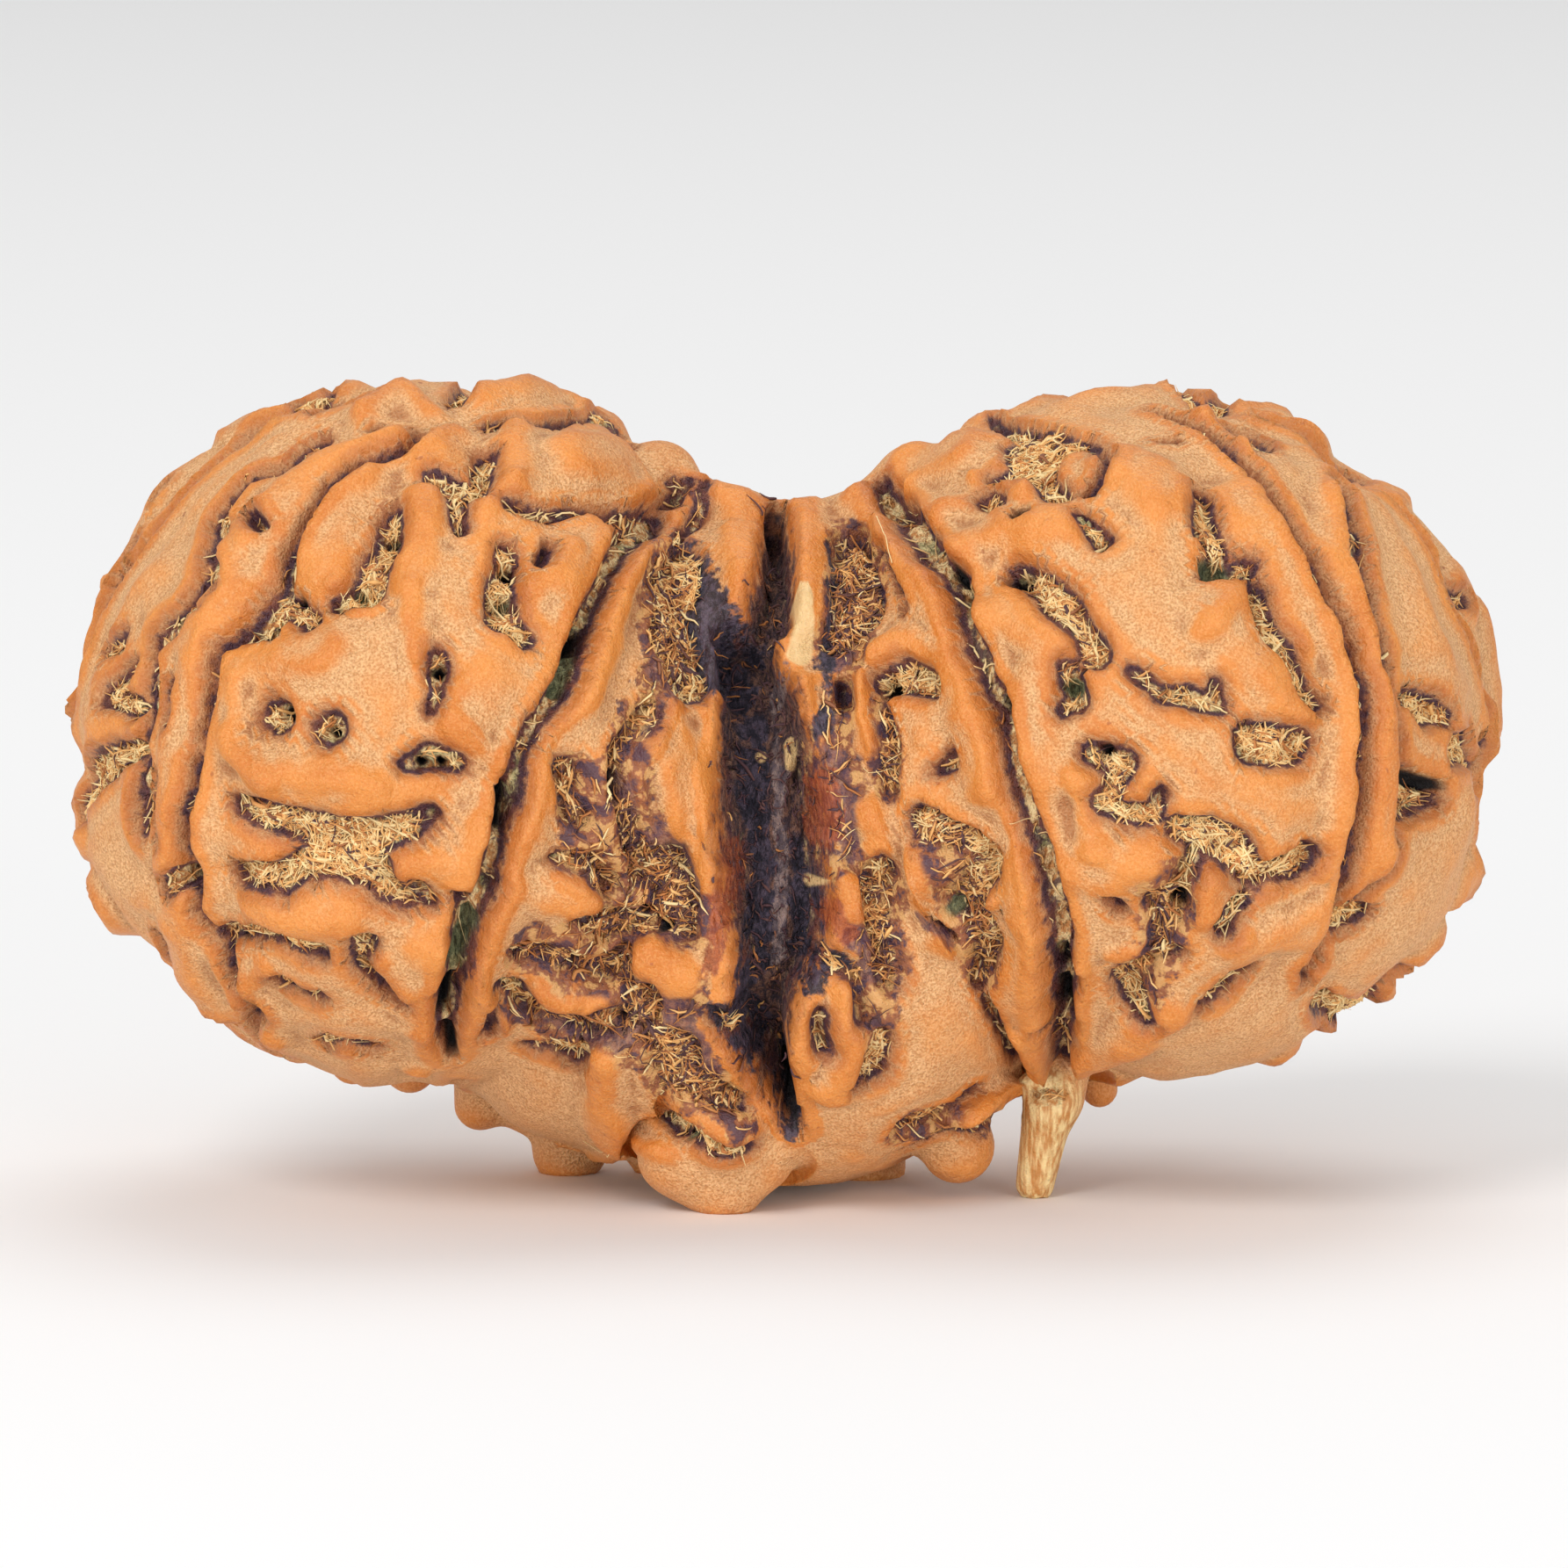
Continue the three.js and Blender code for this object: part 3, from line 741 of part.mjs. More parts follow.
function makeGeometry({ vertices, triangles }) {
  const used = new Map();
  const positions = [];
  const indices = triangles.flat().map((corner) => {
    if (!used.has(corner)) {
      used.set(corner, used.size);
      const { x, y, z } = vertices[corner];
      positions.push(x, y, z < FLOOR_Z + FLAT_CATCH ? FLOOR_Z : z);
    }
    return used.get(corner);
  });
  const geometry = new THREE.BufferGeometry();
  geometry.setAttribute('position', new THREE.Float32BufferAttribute(positions, 3));
  geometry.setIndex(indices);
  geometry.computeVertexNormals();
  return geometry;
}

// Raises and sinks every vertex of the plain body by the relief there
function carve({ vertices, triangles }) {
  const carved = vertices.map((vertex) => {
    const p = ontoBody(vertex);
    return p.clone().addScaledVector(slopeOf(body, p).normalize(), relief(p));
  });
  return { vertices: carved, triangles };
}

const room = new THREE.Box3(new THREE.Vector3(-17, -9, -10.5), new THREE.Vector3(17, 9, 10.5));
const geometry = makeGeometry(simplify(carve(meshField(body, room, GRID_STEP)), MOST_TRIANGLES));
geometry.computeBoundingBox();
const middle = geometry.boundingBox.getCenter(new THREE.Vector3());

const husk = new THREE.MeshStandardMaterial({ name: 'stone', color: 0xd2843c, roughness: 0.62 });
const twinStone = new THREE.Mesh(geometry, husk);
twinStone.name = 'twin_stone';
twinStone.position.set(-middle.x, -middle.y, -FLOOR_Z);

const group = new THREE.Group();
group.add(twinStone);

export default group;
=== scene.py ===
"""A gauri shankar rudraksha: the fine surface, fibres, colours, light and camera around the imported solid."""

import math

import bpy
import numpy as np
from mathutils import Matrix, Vector

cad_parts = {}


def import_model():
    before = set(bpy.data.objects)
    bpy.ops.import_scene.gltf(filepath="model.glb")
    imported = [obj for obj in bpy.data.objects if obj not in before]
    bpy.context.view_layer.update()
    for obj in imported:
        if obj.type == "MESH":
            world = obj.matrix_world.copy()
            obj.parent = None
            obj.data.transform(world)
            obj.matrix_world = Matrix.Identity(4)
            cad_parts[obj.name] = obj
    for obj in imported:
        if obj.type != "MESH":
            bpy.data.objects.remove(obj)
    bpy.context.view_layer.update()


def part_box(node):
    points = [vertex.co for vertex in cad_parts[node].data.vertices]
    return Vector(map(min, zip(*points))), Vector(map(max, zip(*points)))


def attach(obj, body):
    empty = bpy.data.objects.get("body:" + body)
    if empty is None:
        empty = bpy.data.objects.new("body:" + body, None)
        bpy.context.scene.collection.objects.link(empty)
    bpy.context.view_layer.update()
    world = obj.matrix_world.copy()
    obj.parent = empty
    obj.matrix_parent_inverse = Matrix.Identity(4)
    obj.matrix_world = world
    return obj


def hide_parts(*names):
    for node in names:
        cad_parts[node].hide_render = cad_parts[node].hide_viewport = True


MM = 0.001

# Driving sizes of the stones, in millimetres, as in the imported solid
STONE_RADIUS = 7.5
STONE_APART = 8.1
STONE_RISE = 1.15
STONE_DEPTH = 7.3
FLOOR_Z = -9.2

# The strokes are drawn as someone sees the front from this far above the horizon
SIGHT_LIFT = math.radians(8)
SIGHT_UP = np.array([0, math.sin(SIGHT_LIFT), math.cos(SIGHT_LIFT)])
SIGHT_IN = np.array([0, math.cos(SIGHT_LIFT), -math.sin(SIGHT_LIFT)])
SIGHT_START = 14
SIGHT_LENGTH = 18
SIGHT_TOUCH = 0.01
SIGHT_STRIDE = 0.02

# Relief, in millimetres, and the share of its depth that woody matting leaves open in a pit or a cleft
SEGMENT_RISE = 0.45
SEGMENT_REACH = 2.2
PLATE_RISE = 0.25
PLATE_REACH = 0.9
WALL = 0.1
LUMP_CLEARANCE = 0.6
LIP_RISE = 0.12
LIP_START = 0.12
LIP_REACH = 0.5
CLEFT_LIP_RISE = 0.22
CLEFT_LIP_START = 0.25
CLEFT_LIP_REACH = 0.9
RIDGE_EDGE = 0.6
FINE_RIDGE_EDGE = 0.3
HIGH_RIDGE = 0.45
HIGH_FINE_RIDGE = 0.3
STAIN_REACH = 0.6
HOLE_DEPTH = 0.8
PIT_LEFT_OPEN = 0.4
CLEFT_LEFT_OPEN = 0.3
HOLLOW_EDGE = 0.15

# Noises: size of the lumps and height, in millimetres, and the seed of each list's first
EDGE_WANDER = [(0.9, 0.13), (0.35, 0.06)]
WAVES = [(2.6, 0.12), (1.2, 0.09), (0.5, 0.03)]
FLOOR_ROUGHNESS = [(0.6, 0.16), (0.3, 0.10)]
WANDER_SEED = 10
WAVE_SEED = 30
ROUGHNESS_SEED = 40

# Mesh, in millimetres
GRID_LOW = (-17, -9, -10.5)
GRID_HIGH = (17, 9, 10.5)
GRID_STEP = 0.155
RELAX_TURNS = 3
FLAT_CATCH = 0.03
BULGE_SPREAD = 2
SPLINTER_LUMP = 5

# Fibres and hairs, in millimetres
FIBRE_POINTS = 5
FIBRE_RADIUS = 0.025
FIBRE_TRIES = 2
ROOT_SPREAD = 0.06
LENGTH_SPREAD = 0.4
BEND_SPREAD = 0.35
THICKNESS_SPREAD = 0.35
MOST_DROP = 0.25
MOST_RISE = 0.15
FIBRE_CLEARANCE = 0.02
FIBRE_CRIMP = 0.012
STANDING_SHARE = 0.2
STRAY_SHARE = 0.12
FIBRE_STAIN = 0.28

# Beds of fibres by place: name, count, length, lift, and the mean and spread of the tint
PIT_FIBRES = (0.42, 0.03, (0.2, 0.25))
VALLEY_FIBRES = (0.24, 0.02, (0.85, 0.2))
FIBRE_BEDS = [
    ("left_fibres", 5600, *PIT_FIBRES),
    ("right_fibres", 6200, *PIT_FIBRES),
    ("valley_fibres", 500, *VALLEY_FIBRES),
    ("back_fibres", 7500, *PIT_FIBRES),
    ("back_valley_fibres", 400, *VALLEY_FIBRES),
]

# Loose hairs, in millimetres, along points of across and up as someone sees the front
HAIR_POINTS = 24
HAIR_RADIUS = 0.012
LOOSE_HAIRS = [
    [(1.76, 0.5), (1.9, 0.4), (2.2, 0.43), (2.5, 0.52), (2.75, 0.4)],
    [(5.2, -0.6), (5.5, -0.65), (5.8, -0.5)],
    [(2.6, 5.6), (2.9, 5.2), (3.0, 4.7)],
    [(-4.4, -7.3), (-4.0, -7.5), (-3.7, -7.2)],
]

# Picture colours from dark to light, 0 to 255
TONES = {
    "bloom": ((200, 142, 88), (240, 190, 136)),
    "waxy": ((204, 118, 44), (220, 138, 62)),
    "straw": ((200, 138, 80), (255, 226, 168)),
    "moss": ((136, 130, 88), (228, 212, 154)),
    "rim": ((66, 38, 58), (106, 58, 54)),
    "valley": ((58, 42, 48), (128, 92, 76)),
    "matted": ((70, 48, 66), (142, 84, 56)),
    "purple": ((82, 54, 70), (146, 100, 84)),
    "rust": ((132, 58, 34), (176, 92, 52)),
    "grey": ((92, 78, 84), (150, 128, 122)),
    "navy": ((32, 29, 42), (78, 68, 84)),
    "pale": ((206, 160, 100), (240, 208, 154)),
    "green": ((84, 92, 66), (136, 142, 104)),
    "wood": ((196, 134, 70), (244, 216, 156)),
}
SUGARY = (238, 176, 108)
SPECK = (150, 74, 40)
# Painted shade: the brown that darkens the concave creases of the surface
PAINTED_GROOVE_SHADE = (150, 80, 36)
# Painted shade: the reddish-brown that darkens a band just outside each hollow's edge
PAINTED_EDGE_SHADE = (158, 88, 52)
BRUISE = (86, 58, 66)
TUFT = (212, 160, 100)
# Painted shadow for the inside of the deep holes
PAINTED_HOLE_SHADOW = (22, 18, 18)
FIBRE_SHADE = (150, 104, 66)

# A fibre's colour by its tint: from, to, and the colour there
FIRST_FIBRE = (255, 228, 168)
FIBRE_TINTS = [(0.0, 0.3, (246, 190, 118)), (0.3, 0.5, (196, 126, 70)), (0.5, 0.7, (84, 58, 66))]

# Stains over the skin, and how strongly each covers it
STAIN_STRENGTHS = {"purple": 0.85, "rust": 0.85, "grey": 0.9, "navy": 0.96}

# Stage: metres and watts for the lights, millimetres for the frame
FLOOR_REACH = 3.0
WORLD_LIGHT = 0.6
LIGHTS = [
    ("key", (-0.18, -0.30, 0.34), 0.20, 0.75),
    ("right_fill", (0.24, -0.36, 0.05), 0.16, 0.65),
    ("left_fill", (-0.24, -0.36, 0.03), 0.16, 0.55),
    ("top", (0.04, 0.16, 0.42), 0.30, 0.45),
]
CAMERA_LENS = 300
CAMERA_SENSOR = 36
FRAME_WIDTH = 35.7
FRAME_RISE = 0.15

# Big forms, each an ellipsoid: middle, radii
MASSES = [
    ((-STONE_APART, 0.1, STONE_RISE + 0.1), (STONE_RADIUS, STONE_DEPTH, STONE_RADIUS)),
    ((STONE_APART, 0.1, STONE_RISE + 0.2), (STONE_RADIUS, STONE_DEPTH, STONE_RADIUS - 0.2)),
    ((-0.1, 0.2, -0.9), (4.6, 5.6, 7.1)),
    ((-0.3, 0.2, -3.6), (6.0, 5.6, 4.0)),
    ((1.0, 0.4, -6.5), (3.4, 3.6, 1.05)),
    ((-4.3, 1.2, -6.1), (2.4, 3.2, 1.4)),
]
MASS_BLEND = 1.6

# The mukhi clefts of the front, and last the valley where the stones are joined: depth, then points of
# across, up and half-width as someone sees the front
CLEFTS = [
    (1.3, [(-2.3, 6.9, 0.2), (-3.0, 6.1, 0.35), (-3.6, 5.5, 0.3), (-4.0, 4.9, 0.22), (-4.6, 3.7, 0.24),
        (-5.0, 2.4, 0.26), (-5.6, 1.5, 0.24), (-6.1, 0.3, 0.26), (-6.4, -1.0, 0.22),
        (-6.75, -2.2, 0.24), (-7.15, -3.2, 0.3), (-7.5, -4.2, 0.26), (-7.6, -5.2, 0.24),
        (-7.4, -6.4, 0.2)]),
    (1.0, [(-8.2, 7.45, 0.14), (-9.3, 7.0, 0.16), (-10.1, 6.3, 0.16), (-10.8, 5.5, 0.16),
        (-11.1, 4.5, 0.2), (-11.9, 3.6, 0.2), (-12.5, 3.0, 0.16), (-12.7, 1.4, 0.14), (-13.05, 0, 0.14),
        (-13.05, -1.5, 0.14), (-12.9, -2.7, 0.16), (-12.3, -3.6, 0.18), (-11.8, -4.5, 0.16),
        (-11.2, -5.6, 0.14)]),
    (0.7, [(-11.0, 7.1, 0.2), (-11.8, 6.7, 0.24), (-12.5, 5.9, 0.24), (-12.6, 4.7, 0.24),
        (-13.3, 3.7, 0.22), (-14.0, 3.2, 0.24), (-14.1, 1.8, 0.2), (-14.2, 0.8, 0.24),
        (-14.2, -0.8, 0.2)]),
    (1.3, [(2.1, 7.0, 0.22), (2.5, 6.4, 0.3), (3.0, 5.8, 0.32), (3.6, 5.1, 0.24), (4.0, 4.5, 0.24),
        (4.25, 3.7, 0.24), (4.5, 2.8, 0.26), (4.9, 1.9, 0.2), (5.0, 1.2, 0.2), (5.3, 0, 0.24),
        (5.6, -0.9, 0.24), (6.0, -1.9, 0.26), (6.25, -3.0, 0.26), (6.35, -4.4, 0.26),
        (6.45, -5.8, 0.32)]),
    (0.9, [(8.3, 8.2, 0.12), (9.5, 7.7, 0.12), (10.3, 6.9, 0.12), (10.9, 6.2, 0.14), (11.3, 5.4, 0.16),
        (11.7, 4.6, 0.16), (12.3, 3.6, 0.16), (12.7, 2.2, 0.14), (12.6, 0.6, 0.14), (12.45, -1.2, 0.16),
        (12.2, -2.5, 0.14), (11.6, -3.7, 0.12)]),
    (0.7, [(12.3, 6.5, 0.3), (12.6, 5.6, 0.26), (12.7, 4.9, 0.26), (13.0, 3.7, 0.16),
        (13.15, 2.7, 0.18), (13.5, 1.5, 0.16), (13.45, 0, 0.16), (13.4, -1.1, 0.14), (12.6, -2.5, 0.2)]),
    (1.3, [(-0.2, 6.4, 0.2), (-0.1, 5.0, 0.32), (-0.4, 3.7, 0.5)]),
    (1.9, [(-0.9, 3.4, 0.6), (-0.7, 2.2, 0.8), (-0.35, 0.8, 1.1), (-0.2, -1.2, 1.2), (-0.1, -3.0, 1.1),
        (-0.4, -4.6, 0.7), (-0.6, -5.8, 0.5), (-0.1, -6.9, 0.3), (0.15, -7.5, 0.2)]),
]

# Pits and trenches of the front
PITS = [
    # Left stone, rim and strips
    (0.7, [(-14.6, 3.4, 0.25), (-15.1, 2.9, 0.28)]),
    (0.7, [(-14.5, 2.7, 0.24), (-14.9, 2.1, 0.28), (-14.4, 1.9, 0.24)]),
    (0.9, [(-14.5, 1.0, 0.3), (-15.3, 0.3, 0.5), (-15.4, -0.4, 0.35), (-15.3, -1.6, 0.2)]),
    (0.6, [(-15.1, -2.2, 0.2), (-14.4, -3.0, 0.2)]),
    (0.6, [(-13.7, -3.1, 0.2), (-13.4, -3.8, 0.24), (-13.1, -4.4, 0.2)]),
    (0.6, [(-13.65, 2.2, 0.26), (-13.6, 1.6, 0.2)]),
    (0.6, [(-13.8, 0.3, 0.2), (-13.9, -0.4, 0.24), (-13.7, -0.9, 0.2)]),
    (0.7, [(-13.5, -2.0, 0.28), (-13.2, -1.8, 0.28)]),
    (0.7, [(-11.0, 8.3, 0.24), (-10.5, 8.3, 0.28), (-10.2, 8.8, 0.2)]),
    (0.7, [(-10.9, 7.2, 0.22), (-10.4, 7.6, 0.26)]),
    (0.6, [(-7.4, 8.3, 0.24), (-7.1, 8.8, 0.2)]),
    # Left stone, main segment
    (0.9, [(-8.7, 6.0, 0.24), (-8.9, 5.2, 0.34), (-9.3, 4.2, 0.34), (-9.8, 4.05, 0.24)]),
    (0.8, [(-7.5, 6.5, 0.28), (-7.2, 5.7, 0.2)]),
    (0.6, [(-7.8, 6.7, 0.26), (-7.0, 6.4, 0.3), (-6.8, 7.2, 0.26)]),
    (0.7, [(-6.7, 7.85, 0.16), (-5.5, 7.8, 0.18), (-4.2, 8.0, 0.22), (-3.4, 7.8, 0.14)]),
    (0.6, [(-6.3, 6.1, 0.16), (-5.5, 6.0, 0.2), (-4.3, 6.05, 0.2), (-3.5, 6.1, 0.18), (-2.5, 7.0, 0.14)]),
    (0.9, [(-6.3, 5.1, 0.28), (-6.4, 4.4, 0.34), (-6.3, 3.6, 0.38), (-5.9, 3.3, 0.26)]),
    (0.6, [(-11.6, 3.5, 0.28), (-11.1, 4.1, 0.32), (-10.5, 3.7, 0.3)]),
    (0.8, [(-11.15, 1.7, 0.42)]),
    (0.8, [(-10.0, 1.35, 0.42)]),
    (0.7, [(-7.7, 2.8, 0.26), (-7.8, 1.8, 0.18)]),
    (0.8, [(-8.3, 0.6, 0.26), (-7.9, 0.8, 0.36), (-7.3, 0.6, 0.22)]),
    (0.9, [(-12.0, -0.2, 0.24), (-11.2, -0.5, 0.34), (-10.0, -0.8, 0.4), (-9.2, -0.9, 0.4),
        (-8.3, -0.7, 0.3), (-7.8, -0.5, 0.2)]),
    (0.9, [(-12.0, -1.75, 0.28), (-11.0, -1.8, 0.36), (-10.2, -1.4, 0.5), (-9.2, -1.6, 0.5),
        (-8.8, -2.2, 0.34), (-8.4, -2.5, 0.24)]),
    (0.8, [(-12.4, -3.1, 0.22), (-11.7, -3.1, 0.28), (-11.2, -3.0, 0.34), (-10.3, -3.3, 0.24)]),
    (0.7, [(-11.1, -4.1, 0.3), (-10.4, -4.3, 0.3)]),
    (0.7, [(-10.3, -5.4, 0.2), (-9.8, -5.2, 0.28), (-9.2, -5.5, 0.2)]),
    (0.8, [(-9.3, -3.2, 0.34), (-9.4, -3.6, 0.22), (-8.9, -4.2, 0.18), (-8.5, -4.5, 0.16)]),
    (0.6, [(-8.2, -2.1, 0.22), (-7.9, -2.5, 0.18)]),
    # Left stone, segment beside the valley
    (0.7, [(-1.9, 6.75, 0.18), (-2.0, 6.15, 0.2), (-2.5, 5.6, 0.2)]),
    (0.8, [(-2.2, 5.1, 0.5), (-2.5, 4.2, 0.6), (-2.5, 3.2, 0.8), (-2.3, 2.5, 0.6)]),
    (0.8, [(-3.3, 1.8, 0.26), (-3.85, 1.0, 0.24), (-3.95, 0.1, 0.26), (-3.7, -0.6, 0.24),
        (-3.5, -1.2, 0.36)]),
    (0.6, [(-4.9, 0.5, 0.34), (-5.0, -0.2, 0.26), (-4.7, -0.6, 0.28)]),
    (0.6, [(-5.2, -1.4, 0.2), (-4.5, -1.5, 0.28), (-4.2, -1.9, 0.28)]),
    (0.9, [(-3.5, -1.5, 0.34), (-2.6, -1.6, 0.55), (-2.4, -2.5, 0.6), (-2.2, -3.1, 0.34)]),
    (0.7, [(-4.9, -2.6, 0.2), (-4.0, -2.8, 0.4), (-3.1, -2.9, 0.34)]),
    (0.8, [(-5.9, -3.4, 0.28), (-4.9, -3.55, 0.28), (-4.0, -3.8, 0.36), (-3.55, -3.6, 0.28),
        (-3.3, -4.4, 0.24)]),
    (0.8, [(-6.4, -4.1, 0.22), (-5.5, -4.75, 0.28), (-4.6, -4.9, 0.34), (-3.4, -4.9, 0.34),
        (-2.8, -4.5, 0.34)]),
    (0.8, [(-5.7, -5.4, 0.3), (-5.1, -5.4, 0.28), (-4.6, -5.7, 0.3), (-4.25, -5.5, 0.24)]),
    (0.8, [(-2.9, -5.2, 0.34), (-2.3, -5.6, 0.55), (-2.2, -6.3, 0.5), (-1.5, -6.8, 0.34),
        (-0.9, -7.1, 0.2)]),
    (0.9, [(-2.6, -7.1, 0.26), (-2.3, -7.7, 0.3), (-1.8, -8.1, 0.26), (-1.2, -8.3, 0.26),
        (-0.6, -8.0, 0.2)]),
    # Right stone, top
    (0.9, [(6.95, 8.7, 0.35), (7.5, 8.9, 0.35)]),
    (0.8, [(4.8, 8.0, 0.16), (5.6, 7.8, 0.3), (5.9, 7.2, 0.4), (5.9, 6.7, 0.34), (6.3, 6.3, 0.3)]),
    (0.7, [(5.3, 7.5, 0.2), (5.45, 6.9, 0.28), (4.9, 6.8, 0.22)]),
    (0.5, [(6.1, 7.8, 0.2), (6.5, 7.4, 0.28), (7.1, 7.4, 0.2)]),
    (0.6, [(4.6, 6.35, 0.26), (4.9, 6.2, 0.2)]),
    (0.8, [(6.75, 5.75, 0.22), (7.15, 5.3, 0.24)]),
    (0.7, [(8.9, 8.7, 0.24), (9.4, 8.4, 0.26), (10.0, 8.6, 0.24)]),
    (0.8, [(9.95, 7.95, 0.26), (10.4, 7.9, 0.24), (10.7, 7.5, 0.26)]),
    (0.7, [(12.3, 7.1, 0.26), (12.9, 7.0, 0.3)]),
    (0.7, [(14.9, 4.35, 0.22), (15.1, 4.15, 0.2)]),
    (0.7, [(13.8, 2.05, 0.2), (14.3, 1.8, 0.4), (14.6, 1.6, 0.3)]),
    (0.9, [(14.7, 0.9, 0.26), (15.2, 1.1, 0.4), (15.4, 0.4, 0.3), (15.5, 0.1, 0.18)]),
    (0.9, [(13.7, 0.4, 0.26), (13.8, -0.2, 0.45), (14.4, -0.2, 0.3)]),
    (0.8, [(12.5, -2.8, 0.36), (12.9, -2.6, 0.28)]),
    (1.0, [(11.9, -4.4, 0.24), (12.6, -4.6, 0.5), (13.1, -4.0, 0.5), (13.9, -3.4, 0.28),
        (14.4, -2.9, 0.2)]),
    # Right stone, main segment
    (0.9, [(5.2, 4.75, 0.28), (5.8, 4.4, 0.34), (6.4, 3.9, 0.36), (6.8, 3.4, 0.3), (7.0, 2.9, 0.34)]),
    (0.8, [(6.4, 2.6, 0.28), (6.5, 2.0, 0.36), (6.2, 1.7, 0.2)]),
    (0.7, [(7.7, 2.6, 0.16), (8.2, 2.2, 0.2), (9.0, 1.9, 0.3), (9.6, 1.85, 0.26), (9.5, 2.3, 0.2)]),
    (0.9, [(10.3, 1.1, 0.46), (11.3, 1.0, 0.46)]),
    (0.9, [(9.2, 6.2, 0.26), (9.3, 5.6, 0.36), (9.6, 5.2, 0.3), (9.5, 4.8, 0.34), (10.3, 4.9, 0.24)]),
    (0.8, [(10.4, 4.4, 0.24), (10.6, 3.6, 0.28), (11.0, 3.1, 0.3), (11.4, 2.4, 0.28),
        (11.8, 1.95, 0.18)]),
    (0.8, [(6.9, 0.85, 0.28), (7.5, 0.8, 0.3), (7.3, 0.2, 0.28), (7.0, -0.1, 0.24), (7.5, -0.4, 0.3),
        (8.1, -0.4, 0.26), (8.25, 0.1, 0.18)]),
    (0.9, [(8.6, -0.7, 0.26), (9.2, -0.9, 0.44), (9.9, -1.2, 0.46), (10.3, -1.8, 0.36),
        (11.0, -1.7, 0.34), (11.5, -1.4, 0.42)]),
    (0.8, [(10.1, -2.3, 0.22), (9.7, -2.7, 0.34)]),
    (0.9, [(9.1, -1.3, 0.22), (8.8, -2.0, 0.26), (8.4, -2.4, 0.42), (8.3, -3.1, 0.24)]),
    (0.9, [(8.6, -3.3, 0.26), (8.1, -3.6, 0.24), (7.7, -4.1, 0.42), (8.1, -4.6, 0.3)]),
    (0.9, [(9.2, -4.4, 0.18), (9.8, -4.1, 0.36), (10.2, -3.8, 0.34)]),
    # Right stone, segment beside the valley
    (0.7, [(1.4, 5.4, 0.3), (1.6, 4.7, 0.55), (1.8, 3.9, 0.7), (1.3, 3.4, 0.4)]),
    (0.9, [(2.35, 2.3, 0.28), (3.0, 2.5, 0.4), (3.4, 2.3, 0.36)]),
    (0.5, [(2.4, 1.7, 0.2), (2.5, 0.9, 0.26), (2.5, 0.2, 0.3)]),
    (0.8, [(3.55, 0.45, 0.2), (3.85, 0.7, 0.22)]),
    (0.9, [(3.4, -0.7, 0.42), (4.3, -1.1, 0.3), (4.6, -1.5, 0.36), (4.2, -2.3, 0.36), (4.6, -3.0, 0.42),
        (4.6, -3.7, 0.3), (4.4, -4.1, 0.3)]),
    (0.6, [(4.6, -4.5, 0.22), (4.9, -5.2, 0.18), (5.2, -5.8, 0.16)]),
    (0.7, [(2.1, -1.7, 0.4), (2.0, -2.6, 0.4), (2.2, -3.4, 0.3), (2.3, -4.1, 0.34)]),
    (0.8, [(1.0, -3.8, 0.26), (1.6, -4.1, 0.2), (1.6, -5.0, 0.18)]),
    (0.8, [(2.1, -5.4, 0.3), (2.0, -6.0, 0.34), (1.6, -6.3, 0.2)]),
    (0.7, [(0.85, -5.0, 0.24), (0.8, -5.6, 0.26)]),
    (0.9, [(2.6, -7.3, 0.36), (3.1, -7.2, 0.42), (3.6, -6.8, 0.24), (3.9, -6.5, 0.24)]),
    (0.6, [(2.9, -7.8, 0.18), (3.6, -7.55, 0.18), (4.4, -7.6, 0.26), (5.0, -7.3, 0.26)]),
    (0.7, [(5.6, -6.9, 0.2), (6.1, -6.85, 0.26)]),
]

